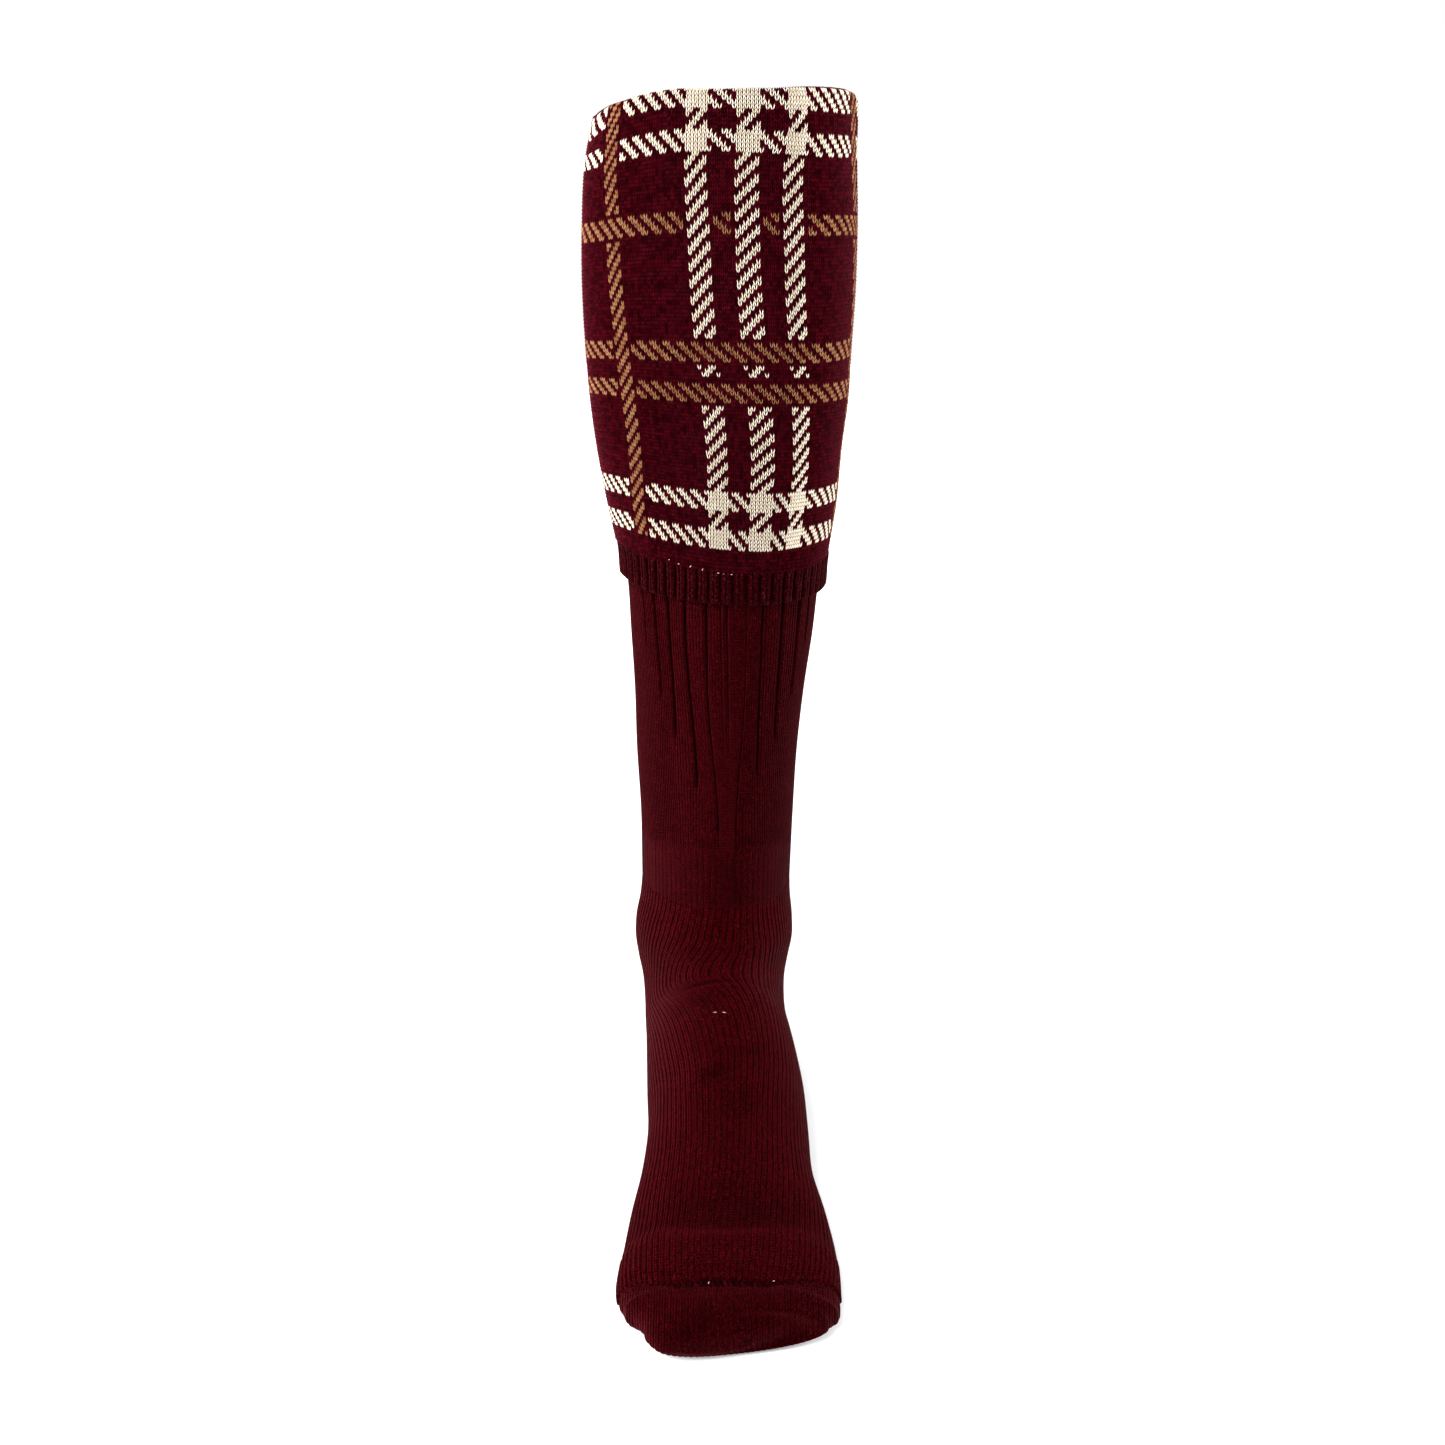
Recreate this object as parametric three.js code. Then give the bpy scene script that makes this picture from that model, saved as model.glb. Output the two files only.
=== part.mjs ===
import * as THREE from 'three';

// Kilt hose for a left leg, in the shape it has when worn: a turned-over patterned cuff with a
// ribbed hem, a wide-rib leg, a heel pocket, a foot and a closed toe with its linked seam.
// Millimetres, +Z up, toe towards -Y, big toe towards -X.
// The origin is the middle of the leg opening, level with the top of the fold.

// Heights above the sole
const LEG_HEIGHT = 432;
const ANKLE_HEIGHT = 110;
const TOE_HEIGHT = 25;

// Depths of the turn-over, measured down from the fold
const CUFF_DEPTH = 187;
const HEM_DEPTH = 13.5;
const RETURN_DEPTH = 12;

// Girths of the leg tube and the foot
const CALF_WIDTH = 104.6;
const CALF_DEPTH = 113;
const ANKLE_WIDTH = 66.8;
const ANKLE_DEPTH = 75;
const FOOT_WIDTH = 82.2;

// Reach of the foot from the leg's axis
const FOOT_FRONT = 190;
const HEEL_BACK = 55;

// Walls and gaps
const CUFF_WALL = 2.2;
const HEM_WALL = 2.2;
const LEG_WALL = 2;
const FOOT_WALL = 2.6;
const CLEARANCE = 0.3;
const HEM_EASE = 0.5;

// Knitted relief. The ribs are turned to the right by a share of the ring.
const LEG_RIBS = 30;
const RIB_TURN = 0.009;
const RIB_GROOVE = 0.9;
const HEM_RIBS = 56;
const HEM_GROOVE = 0.8;
const SEAM_WIDTH = 2.4;
const SEAM_RISE = 0.8;

// The front grooves end one after another in a V: the first pair lowest, each next pair higher
const GROOVE_LOWEST = 142;
const GROOVE_STEP = 20.5;
const GROOVES_EACH_SIDE = 5;

// Share of the ring, from the instep's middle line, where the heel pocket begins
const HEEL_SIDE_SHARE = 0.27;

// Leg sections. at: height share from ankle to fold. width, depth: 0 for the ankle's, 1 for the calf's.
// left, front: the share of the width and depth on that side of the leg's axis.
// crest: how far the shin's ridge lies to the right, as a share of the width.
// round: exponent of the front's superellipse, 2 for an ellipse, less for a sharper shin.
const LEG_SECTIONS = [
  { at: 0.0, width: 0.0, left: 0.545, depth: 0.0, front: 0.533, crest: 0.02, round: 2.0 },
  { at: 0.1, width: 0.03, left: 0.537, depth: 0.013, front: 0.517, crest: 0.03, round: 2.0 },
  { at: 0.19, width: 0.1, left: 0.535, depth: 0.08, front: 0.513, crest: 0.04, round: 2.0 },
  { at: 0.273, width: 0.178, left: 0.519, depth: 0.158, front: 0.506, crest: 0.05, round: 1.95 },
  { at: 0.357, width: 0.304, left: 0.503, depth: 0.263, front: 0.494, crest: 0.07, round: 1.9 },
  { at: 0.42, width: 0.38, left: 0.497, depth: 0.355, front: 0.486, crest: 0.1, round: 1.85 },
  { at: 0.46, width: 0.454, left: 0.498, depth: 0.434, front: 0.481, crest: 0.13, round: 1.8 },
  { at: 0.519, width: 0.625, left: 0.504, depth: 0.58, front: 0.474, crest: 0.16, round: 1.75 },
  { at: 0.6, width: 0.793, left: 0.516, depth: 0.763, front: 0.466, crest: 0.18, round: 1.7 },
  { at: 0.655, width: 0.9, left: 0.515, depth: 0.88, front: 0.461, crest: 0.19, round: 1.65 },
  { at: 0.714, width: 0.95, left: 0.517, depth: 0.974, front: 0.455, crest: 0.19, round: 1.65 },
  { at: 0.786, width: 1.0, left: 0.515, depth: 1.0, front: 0.456, crest: 0.19, round: 1.65 },
  { at: 0.86, width: 0.99, left: 0.512, depth: 0.92, front: 0.464, crest: 0.19, round: 1.65 },
  { at: 0.963, width: 0.88, left: 0.502, depth: 0.737, front: 0.476, crest: 0.18, round: 1.7 },
  { at: 1.0, width: 0.81, left: 0.487, depth: 0.66, front: 0.475, crest: 0.17, round: 1.7 },
];

// Foot sections, fanned round the ankle and then upright.
// reach: where the instep line is, 0 at the ankle's front and 1 at the toe's tip.
// rise: its height, 0 for the toe's and 1 for the ankle's.
// heel: where the heel line is, 0 at the ankle's back and 1 at the heel's back.
// sole: how far along the sole from the ankle's back to the toe's tip, 0 to 1.
// low: height of the heel or sole line, as a share of the ankle's height.
// width: 0 for the ankle's and 1 for the foot's. left: the share of it on that side of the axis.
// flat: exponent of the sole side's superellipse, more for a flatter sole.
const FOOT_SECTIONS = [
  { reach: 0.0, rise: 1.0, heel: 0.0, sole: 0.0, low: 1.0, width: 0.0, left: 0.545, flat: 2.0 },
  { reach: 0.017, rise: 0.93, heel: 0.05, sole: 0.0, low: 0.882, width: 0.07, left: 0.549, flat: 2.0 },
  { reach: 0.033, rise: 0.87, heel: 0.175, sole: 0.0, low: 0.745, width: 0.26, left: 0.554, flat: 2.0 },
  { reach: 0.05, rise: 0.83, heel: 0.4, sole: 0.0, low: 0.58, width: 0.31, left: 0.556, flat: 2.05 },
  { reach: 0.067, rise: 0.794, heel: 0.7, sole: 0.0, low: 0.4, width: 0.12, left: 0.562, flat: 2.1 },
  { reach: 0.08, rise: 0.765, heel: 0.95, sole: 0.0, low: 0.218, width: -0.08, left: 0.563, flat: 2.2 },
  { reach: 0.097, rise: 0.735, heel: 0.75, sole: 0.0, low: 0.05, width: -0.14, left: 0.558, flat: 2.4 },
  { reach: 0.113, rise: 0.706, heel: 0.0, sole: 0.0, low: -0.018, width: -0.13, left: 0.548, flat: 2.8 },
  { reach: 0.133, rise: 0.673, heel: 0.0, sole: 0.102, low: -0.018, width: -0.1, left: 0.528, flat: 3.0 },
  { reach: 0.173, rise: 0.612, heel: 0.0, sole: 0.218, low: -0.018, width: -0.03, left: 0.505, flat: 3.0 },
  { reach: 0.253, rise: 0.512, heel: 0.0, sole: 0.342, low: -0.018, width: 0.04, left: 0.48, flat: 3.0 },
  { reach: 0.347, rise: 0.406, heel: 0.0, sole: 0.476, low: -0.018, width: 0.0, left: 0.465, flat: 3.0 },
  { reach: 0.467, rise: 0.288, heel: 0.0, sole: 0.6, low: -0.018, width: 0.14, left: 0.473, flat: 3.0 },
  { reach: 0.587, rise: 0.188, heel: 0.0, sole: 0.698, low: -0.018, width: 0.6, left: 0.469, flat: 2.9 },
  { reach: 0.707, rise: 0.094, heel: 0.0, sole: 0.787, low: -0.018, width: 0.92, left: 0.467, flat: 2.8 },
  { reach: 0.8, rise: 0.041, heel: 0.0, sole: 0.867, low: -0.018, width: 1.0, left: 0.473, flat: 2.2 },
  { reach: 0.877, rise: 0.006, heel: 0.0, sole: 0.918, low: -0.01, width: 0.89, left: 0.471, flat: 1.8 },
];
const HEEL_ROW_COUNT = 8;
const FOOT_MIDDLE_SHARE = 0.62;

// The gap behind the heel pocket, measured along the slanted rows, as a multiple of the clearance
const HEEL_GAP_FACTOR = 1.5;

// Toe sections. at: 0 at the seam and 1 at the tip. width, top, bottom: shares of the toe's own.
// left: the share of the width on that side of the axis.
// skew: how much each millimetre to the right lies further back.
const TOE_SECTIONS = [
  { at: 0.0, width: 1.0, left: 0.471, top: 1.0, bottom: 0.0, skew: 0.0 },
  { at: 0.3, width: 0.865, left: 0.425, top: 0.95, bottom: 0.065, skew: 0.05 },
  { at: 0.6, width: 0.78, left: 0.435, top: 0.86, bottom: 0.11, skew: 0.04 },
  { at: 0.85, width: 0.54, left: 0.5, top: 0.73, bottom: 0.2, skew: 0.14 },
  { at: 1.0, width: 0.33, left: 0.6, top: 0.6, bottom: 0.33, skew: 0.09 },
];
const TOE_WIDTH_SHARE = 0.96;
const TOE_MIDDLE_SHARE = 0.6;
const BIG_TOE_SHARE = 0.12;
const TOE_TOP_EXPONENT = 2.5;
const TOE_UNDER_EXPONENT = 1.75;

const LEG_COLUMNS = 3 * LEG_RIBS;
const FOOT_FRONT_STEPS = 16;
const FOOT_BACK_STEPS = 14;
const FOLD_STEPS = 4;
const OUTLINE_SAMPLES = 360;

// Places of the rows between the hem and the top of the leg tube, and of the leg's rows below
const CUFF_ROWS = [0.25, 0.5, 0.76, 1];
const LEG_ROWS = [0, 0.14, 0.27, 0.4, 0.54, 0.68, 0.84, 1];

const ANKLE_FRONT = ANKLE_DEPTH * LEG_SECTIONS[0].front;
const ANKLE_BACK = ANKLE_DEPTH - ANKLE_FRONT;
const HEM_TOP = LEG_HEIGHT - CUFF_DEPTH + HEM_DEPTH;
const HEM_BOTTOM = LEG_HEIGHT - CUFF_DEPTH;
const LEG_TOP = LEG_HEIGHT - RETURN_DEPTH - CLEARANCE;

function mix(a, b, share) {
  return a + (b - a) * share;
}

// Row of a table at a place between its rows, found along the named column
function rowAt(table, column, place) {
  let next = table.findIndex((row) => row[column] >= place);
  if (next < 0) next = table.length - 1;
  const high = table[Math.max(next, 1)];
  const low = table[Math.max(next, 1) - 1];
  return blendRows(low, high, (place - low[column]) / (high[column] - low[column]));
}

function blendRows(low, high, share) {
  const row = {};
  for (const key of Object.keys(low)) row[key] = mix(low[key], high[key], share);
  return row;
}

// Closed outline of one section in its own plane: x to the right, y towards the back or sole.
// It runs from the middle of the front, round the right side, the back and the left side.
function outline({ left, right, front, back, crest, roundFront, roundBack }) {
  const points = [];
  for (let i = 0; i < OUTLINE_SAMPLES; i += 1) {
    const turn = (2 * Math.PI * i) / OUTLINE_SAMPLES;
    const across = Math.sin(turn);
    const along = Math.cos(turn);
    const power = 2 / (along > 0 ? roundFront : roundBack);
    const side = across > 0 ? right : left;
    const reach = along > 0 ? front : back;
    const ridge = crest * Math.max(0, along) ** 2;
    points.push([
      side * Math.sign(across) * Math.abs(across) ** power + ridge,
      -reach * Math.sign(along) * Math.abs(along) ** power,
    ]);
  }
  return points;
}

// Points of a closed outline at given shares of its length, from where its front crosses x = 0,
// each moved outwards by the offset
function resample(points, shares, offset) {
  const count = points.length;
  const lengths = [0];
  for (let i = 0; i < count; i += 1) {
    const [ax, ay] = points[i];
    const [bx, by] = points[(i + 1) % count];
    lengths.push(lengths[i] + Math.hypot(bx - ax, by - ay));
  }
  const total = lengths[count];
  let start = 0;
  for (let i = 0; i < count; i += 1) {
    const [ax, ay] = points[i];
    const [bx, by] = points[(i + 1) % count];
    if (ax < 0 && bx >= 0 && ay < 0 && by < 0) start = mix(lengths[i], lengths[i + 1], -ax / (bx - ax));
  }
  return shares.map((share) => {
    const target = (((start + share * total) % total) + total) % total;
    let i = lengths.findIndex((length) => length > target) - 1;
    if (i < 0) i = count - 1;
    const [ax, ay] = points[i];
    const [bx, by] = points[(i + 1) % count];
    const local = (target - lengths[i]) / (lengths[i + 1] - lengths[i]);
    const span = Math.hypot(bx - ax, by - ay);
    return [
      mix(ax, bx, local) - (offset(share) * (by - ay)) / -span,
      mix(ay, by, local) - (offset(share) * (bx - ax)) / span,
    ];
  });
}

// Leg

function legOutline(height) {
  const row = rowAt(LEG_SECTIONS, 'at', (height - ANKLE_HEIGHT) / (LEG_HEIGHT - ANKLE_HEIGHT));
  const width = mix(ANKLE_WIDTH, CALF_WIDTH, row.width);
  const depth = mix(ANKLE_DEPTH, CALF_DEPTH, row.depth);
  return outline({
    left: width * row.left,
    right: width * (1 - row.left),
    front: depth * row.front,
    back: depth * (1 - row.front),
    crest: width * row.crest,
    roundFront: row.round,
    roundBack: 2,
  });
}

// Ring of a level section at a height, moved outwards by an offset that may vary round it
function legRing(height, shares, offset) {
  const flat = resample(legOutline(height), shares, typeof offset === 'function' ? offset : () => offset);
  return flat.map(([x, y]) => [x, y, height - LEG_HEIGHT]);
}

function evenShares(count) {
  return Array.from({ length: count }, (_, i) => i / count);
}

// Shares of the columns that the cuff and the leg have in common: three to a rib
function ribShares() {
  return evenShares(LEG_COLUMNS).map((share) => share + RIB_TURN);
}

// Depth of the rib groove in a column at a height: grooves end in a V at the front and the back
function grooveDepth(column, height) {
  if (column % 3 !== 0) return 0;
  const rib = column / 3;
  const fromFront = Math.min(rib, LEG_RIBS - rib);
  const fromMiddle = Math.min(fromFront, LEG_RIBS / 2 - fromFront);
  if (fromMiddle > GROOVES_EACH_SIDE || height > HEM_TOP) return 0;
  const end = GROOVE_LOWEST + GROOVE_STEP * Math.abs(fromMiddle - 1);
  return RIB_GROOVE * THREE.MathUtils.clamp((height - end) / (GROOVE_STEP / 2), 0, 1);
}

// Faces

class SolidBuilder {
  constructor() {
    this.points = [];
    this.index = [];
  }

  ring(points) {
    const first = this.points.length;
    this.points.push(...points);
    return points.map((_, i) => first + i);
  }

  quad(a, b, c, d) {
    this.index.push(a, b, c, a, c, d);
  }

  // Band between two closed rings of equal count
  band(low, high) {
    for (let i = 0; i < low.length; i += 1) {
      const next = (i + 1) % low.length;
      this.quad(low[i], low[next], high[next], high[i]);
    }
  }

  // Closed disc over a ring, with its middle point
  disc(ring, outward) {
    const middle = [0, 1, 2].map((k) => ring.reduce((sum, i) => sum + this.points[i][k], 0) / ring.length);
    const centre = this.ring([middle])[0];
    for (let i = 0; i < ring.length; i += 1) {
      const next = (i + 1) % ring.length;
      if (outward) this.index.push(ring[i], ring[next], centre);
      else this.index.push(ring[next], ring[i], centre);
    }
  }

  geometry() {
    const used = new Map();
    const positions = [];
    const index = this.index.map((old) => {
      if (!used.has(old)) {
        used.set(old, used.size);
        positions.push(...this.points[old]);
      }
      return used.get(old);
    });
    const geometry = new THREE.BufferGeometry();
    geometry.setAttribute('position', new THREE.Float32BufferAttribute(positions, 3));
    geometry.setIndex(index);
    geometry.computeVertexNormals();
    return geometry;
  }
}

// Ring of walls swept along a closed profile, from rings listed round the profile
function sweptGeometry(rings) {
  const solid = new SolidBuilder();
  const made = rings.map((points) => solid.ring(points));
  for (let i = 0; i < made.length; i += 1) solid.band(made[i], made[(i + 1) % made.length]);
  return solid.geometry();
}

// Heights of the rows shared by the cuff and the leg inside it
function cuffRows(low, high) {
  const rows = CUFF_ROWS.map((share) => mix(HEM_TOP, LEG_TOP, share));
  return [low, ...rows.filter((height) => height > low + 1 && height < high - 1), high];
}

function cuffGeometry() {
  const shares = ribShares();
  const outer = CLEARANCE + CUFF_WALL;
  const foldRadius = (outer + LEG_WALL) / 2;
  const foldMiddle = outer - foldRadius;
  const foldBase = LEG_HEIGHT - foldRadius;
  const low = HEM_TOP + CLEARANCE;
  const returnEnd = LEG_HEIGHT - RETURN_DEPTH;
  const slotTop = LEG_HEIGHT - CUFF_WALL - CLEARANCE;
  const rings = cuffRows(low, foldBase).map((height) => legRing(height, shares, outer));
  for (let i = 1; i < FOLD_STEPS; i += 1) {
    const turn = (Math.PI * i) / FOLD_STEPS;
    const offset = foldMiddle + foldRadius * Math.cos(turn);
    rings.push(legRing(foldBase, shares, offset).map(([x, y, z]) => [x, y, z + foldRadius * Math.sin(turn)]));
  }
  rings.push(legRing(foldBase, shares, -LEG_WALL));
  rings.push(legRing(returnEnd, shares, -LEG_WALL));
  rings.push(legRing(returnEnd, shares, 0));
  rings.push(legRing(slotTop, shares, 0));
  for (const height of cuffRows(low, slotTop).reverse()) rings.push(legRing(height, shares, CLEARANCE));
  return sweptGeometry(rings);
}

// Hem of two-and-two ribs: every other pair of its points lies deeper
function hemGeometry() {
  const shares = evenShares(2 * HEM_RIBS);
  const outer = HEM_EASE + HEM_WALL;
  const ribbed = (share) => outer - HEM_GROOVE * (Math.round(share * 2 * HEM_RIBS) % 2);
  return sweptGeometry([
    legRing(HEM_BOTTOM, shares, ribbed),
    legRing(HEM_TOP, shares, ribbed),
    legRing(HEM_TOP, shares, HEM_EASE),
    legRing(HEM_BOTTOM, shares, HEM_EASE),
  ]);
}

function legGeometry() {
  const shares = ribShares();
  const low = ANKLE_HEIGHT + CLEARANCE;
  const shown = LEG_ROWS.map((share) => mix(low, HEM_TOP, share));
  const heights = [...shown, ...cuffRows(HEM_TOP, LEG_TOP).slice(1)];
  const outside = heights.map((height) =>
    legRing(height, shares, (share) => -grooveDepth(Math.round((share - RIB_TURN) * LEG_COLUMNS), height)),
  );
  const inside = heights.map((height) => legRing(height, shares, -LEG_WALL)).reverse();
  return sweptGeometry([...outside, ...inside]);
}

// Foot

// Shares round a foot section: the instep's, then the heel pocket's, a narrow gap between them
function footShares() {
  const gap = CLEARANCE / (Math.PI * (ANKLE_WIDTH + ANKLE_DEPTH));
  const shares = [];
  for (let i = 0; i <= FOOT_FRONT_STEPS; i += 1) {
    shares.push(mix(-HEEL_SIDE_SHARE + gap, HEEL_SIDE_SHARE - gap, i / FOOT_FRONT_STEPS));
  }
  for (let i = 0; i <= FOOT_BACK_STEPS; i += 1) {
    shares.push(mix(HEEL_SIDE_SHARE + gap, 1 - HEEL_SIDE_SHARE - gap, i / FOOT_BACK_STEPS));
  }
  return shares;
}

// Ring in the plane through an instep point and a sole point, each given as [y, height]
function tiltedRing(top, sole, shape, offset) {
  const depth = Math.hypot(sole[0] - top[0], sole[1] - top[1]);
  const along = [(sole[0] - top[0]) / depth, (sole[1] - top[1]) / depth];
  const middle = depth * shape.middle;
  const points = outline({
    left: shape.width * shape.left,
    right: shape.width * (1 - shape.left),
    front: middle,
    back: depth - middle,
    crest: shape.crest,
    roundFront: shape.roundTop,
    roundBack: shape.roundSole,
  });
  const floor = offset < 0 ? -offset : 0;
  return resample(points, footShares(), () => offset).map(([x, y]) => [
    x,
    top[0] + (middle + y) * along[0],
    Math.max(floor, top[1] + (middle + y) * along[1]) - LEG_HEIGHT,
  ]);
}

function footRing(row, offset) {
  const width = mix(ANKLE_WIDTH, FOOT_WIDTH, row.width);
  const top = [
    -mix(ANKLE_FRONT, FOOT_FRONT, row.reach),
    mix(TOE_HEIGHT, ANKLE_HEIGHT, row.rise),
  ];
  const sole = [
    mix(ANKLE_BACK, HEEL_BACK, row.heel) - row.sole * (ANKLE_BACK + FOOT_FRONT),
    row.low * ANKLE_HEIGHT,
  ];
  const shape = {
    width,
    left: row.left,
    middle: mix(LEG_SECTIONS[0].front, FOOT_MIDDLE_SHARE, row.reach),
    crest: ANKLE_WIDTH * LEG_SECTIONS[0].crest * (1 - row.reach),
    roundTop: 2,
    roundSole: row.flat,
  };
  return tiltedRing(top, sole, shape, offset);
}

function toeRing(row, offset) {
  const seamEnd = seamPlaces().after;
  const y = -mix(-seamEnd, FOOT_FRONT, row.at);
  const shape = {
    width: FOOT_WIDTH * TOE_WIDTH_SHARE * row.width,
    left: row.left,
    middle: TOE_MIDDLE_SHARE,
    crest: 0,
    roundTop: TOE_TOP_EXPONENT,
    roundSole: TOE_UNDER_EXPONENT,
  };
  const ring = tiltedRing([y, TOE_HEIGHT * row.top], [y, TOE_HEIGHT * row.bottom], shape, offset);
  const bigToe = -FOOT_WIDTH * BIG_TOE_SHARE;
  return ring.map(([x, along, z]) => [x, along + row.skew * (x - bigToe), z]);
}

// Where the seam's strip starts and ends along the foot
function seamPlaces() {
  const last = FOOT_SECTIONS[FOOT_SECTIONS.length - 1];
  const before = -mix(ANKLE_FRONT, FOOT_FRONT, last.reach);
  const start = before - CLEARANCE;
  const end = start - SEAM_WIDTH;
  return { start, end, after: end - CLEARANCE };
}

// Upright ring just behind the toe, at a place along the foot
function seamRing(y, offset) {
  const [first] = TOE_SECTIONS;
  return toeRing(first, offset).map(([x, , z]) => [x, y, z]);
}

// Rows of the foot from the ankle to the seam's far side: an outer and an inner ring for each.
// The row after the heel's last stands a gap further on.
function footRows() {
  const heelEnd = FOOT_SECTIONS[HEEL_ROW_COUNT];
  const nextRow = FOOT_SECTIONS[HEEL_ROW_COUNT + 1];
  const spacing = (nextRow.sole - heelEnd.sole) * (ANKLE_BACK + FOOT_FRONT);
  const afterHeel = blendRows(heelEnd, nextRow, (HEEL_GAP_FACTOR * CLEARANCE) / spacing);
  const sections = [
    ...FOOT_SECTIONS.slice(0, HEEL_ROW_COUNT + 1),
    afterHeel,
    ...FOOT_SECTIONS.slice(HEEL_ROW_COUNT + 1),
  ];
  const rows = sections.map((row) => ({ outer: footRing(row, 0), inner: footRing(row, -FOOT_WALL) }));
  const { start, end } = seamPlaces();
  for (const y of [start, end]) rows.push({ outer: seamRing(y, 0), inner: seamRing(y, -FOOT_WALL) });
  return rows;
}

// Wall solid of the chosen cells of a grid of rows, closed along every edge of the choice
function cellsGeometry(rows, chosen) {
  const solid = new SolidBuilder();
  const outer = rows.map((row) => solid.ring(row.outer));
  const inner = rows.map((row) => solid.ring(row.inner));
  const count = rows[0].outer.length;
  const holds = (i, j) => i >= 0 && i < rows.length - 1 && chosen(i, (j + count) % count);
  for (let i = 0; i < rows.length - 1; i += 1) {
    for (let j = 0; j < count; j += 1) {
      if (!holds(i, j)) continue;
      const next = (j + 1) % count;
      solid.quad(outer[i + 1][j], outer[i + 1][next], outer[i][next], outer[i][j]);
      solid.quad(inner[i][j], inner[i][next], inner[i + 1][next], inner[i + 1][j]);
      if (!holds(i - 1, j)) solid.quad(outer[i][j], outer[i][next], inner[i][next], inner[i][j]);
      if (!holds(i + 1, j)) solid.quad(inner[i + 1][j], inner[i + 1][next], outer[i + 1][next], outer[i + 1][j]);
      if (!holds(i, j - 1)) solid.quad(outer[i + 1][j], outer[i][j], inner[i][j], inner[i + 1][j]);
      if (!holds(i, j + 1)) solid.quad(outer[i][next], outer[i + 1][next], inner[i + 1][next], inner[i][next]);
    }
  }
  return solid.geometry();
}

const onInstep = (column) => column < FOOT_FRONT_STEPS;
const onHeel = (column) => column > FOOT_FRONT_STEPS && column <= FOOT_FRONT_STEPS + FOOT_BACK_STEPS;
const SEAM_ROW = FOOT_SECTIONS.length;

function heelGeometry() {
  return cellsGeometry(footRows(), (row, column) => row < HEEL_ROW_COUNT && onHeel(column));
}

function footGeometry() {
  return cellsGeometry(footRows(), (row, column) => {
    if (row <= HEEL_ROW_COUNT) return onInstep(column);
    if (row >= SEAM_ROW) return onHeel(column);
    return true;
  });
}

function seamGeometry() {
  const { start, end } = seamPlaces();
  const rows = [start, mix(start, end, 0.5), end].map((y, i) => ({
    outer: seamRing(y, i === 1 ? SEAM_RISE : 0),
    inner: seamRing(y, -FOOT_WALL),
  }));
  return cellsGeometry(rows, (row, column) => onInstep(column));
}

function toeGeometry() {
  const solid = new SolidBuilder();
  const outside = TOE_SECTIONS.map((row) => solid.ring(toeRing(row, 0)));
  const wallShare = FOOT_WALL / (FOOT_FRONT + seamPlaces().after);
  const inside = TOE_SECTIONS.slice(0, -1).map((row) => {
    const pulled = { ...row, at: row.at * (1 - wallShare) };
    return solid.ring(toeRing(pulled, -FOOT_WALL));
  });
  for (let i = 1; i < outside.length; i += 1) solid.band(outside[i], outside[i - 1]);
  solid.disc(outside[outside.length - 1], false);
  for (let i = 1; i < inside.length; i += 1) solid.band(inside[i - 1], inside[i]);
  solid.disc(inside[inside.length - 1], true);
  solid.band(outside[0], inside[0]);
  return solid.geometry();
}

// The whole sock

const PIECES = [
  { name: 'cuff', geometry: cuffGeometry(), color: 0x4a0a1a, roughness: 0.95 },
  { name: 'cuff_hem', geometry: hemGeometry(), color: 0x4a0a1a, roughness: 0.95 },
  { name: 'leg', geometry: legGeometry(), color: 0x4d0216, roughness: 0.95 },
  { name: 'heel', geometry: heelGeometry(), color: 0x4d0216, roughness: 0.95 },
  { name: 'foot', geometry: footGeometry(), color: 0x4d0216, roughness: 0.95 },
  { name: 'toe_seam', geometry: seamGeometry(), color: 0x5a0a20, roughness: 0.9 },
  { name: 'toe_cap', geometry: toeGeometry(), color: 0x52051a, roughness: 0.95 },
];

const sock = new THREE.Group();
for (const { name, geometry, color, roughness } of PIECES) {
  const material = new THREE.MeshStandardMaterial({ color, roughness, metalness: 0 });
  const mesh = new THREE.Mesh(geometry, material);
  mesh.name = name;
  sock.add(mesh);
}

export default sock;
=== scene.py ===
import math

import bpy
import numpy as np
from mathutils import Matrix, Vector


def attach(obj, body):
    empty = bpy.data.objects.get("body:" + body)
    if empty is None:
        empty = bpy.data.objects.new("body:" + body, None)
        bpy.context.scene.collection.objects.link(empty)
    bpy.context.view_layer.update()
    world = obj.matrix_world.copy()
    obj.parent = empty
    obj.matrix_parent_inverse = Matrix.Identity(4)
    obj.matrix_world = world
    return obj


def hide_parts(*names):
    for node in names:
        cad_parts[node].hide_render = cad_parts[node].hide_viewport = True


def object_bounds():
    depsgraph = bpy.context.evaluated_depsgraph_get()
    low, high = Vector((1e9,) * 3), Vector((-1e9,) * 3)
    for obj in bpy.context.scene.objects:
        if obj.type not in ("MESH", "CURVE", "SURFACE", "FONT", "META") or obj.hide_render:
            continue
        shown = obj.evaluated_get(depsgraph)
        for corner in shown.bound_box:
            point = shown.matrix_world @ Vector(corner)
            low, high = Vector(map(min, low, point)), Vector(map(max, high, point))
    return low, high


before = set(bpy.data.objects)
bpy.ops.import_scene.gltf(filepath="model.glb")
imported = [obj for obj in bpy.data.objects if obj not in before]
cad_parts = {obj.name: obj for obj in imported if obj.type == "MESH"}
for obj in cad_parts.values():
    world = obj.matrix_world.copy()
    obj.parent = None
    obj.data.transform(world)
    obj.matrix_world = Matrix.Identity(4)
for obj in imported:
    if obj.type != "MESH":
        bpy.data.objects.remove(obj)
cad_low, cad_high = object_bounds()

# Kilt hose for a left leg, dressed in its knit. Lengths are millimetres until a mesh is made,
# heights are measured from the sole, and the frame's origin is the middle of the leg opening.

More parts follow.
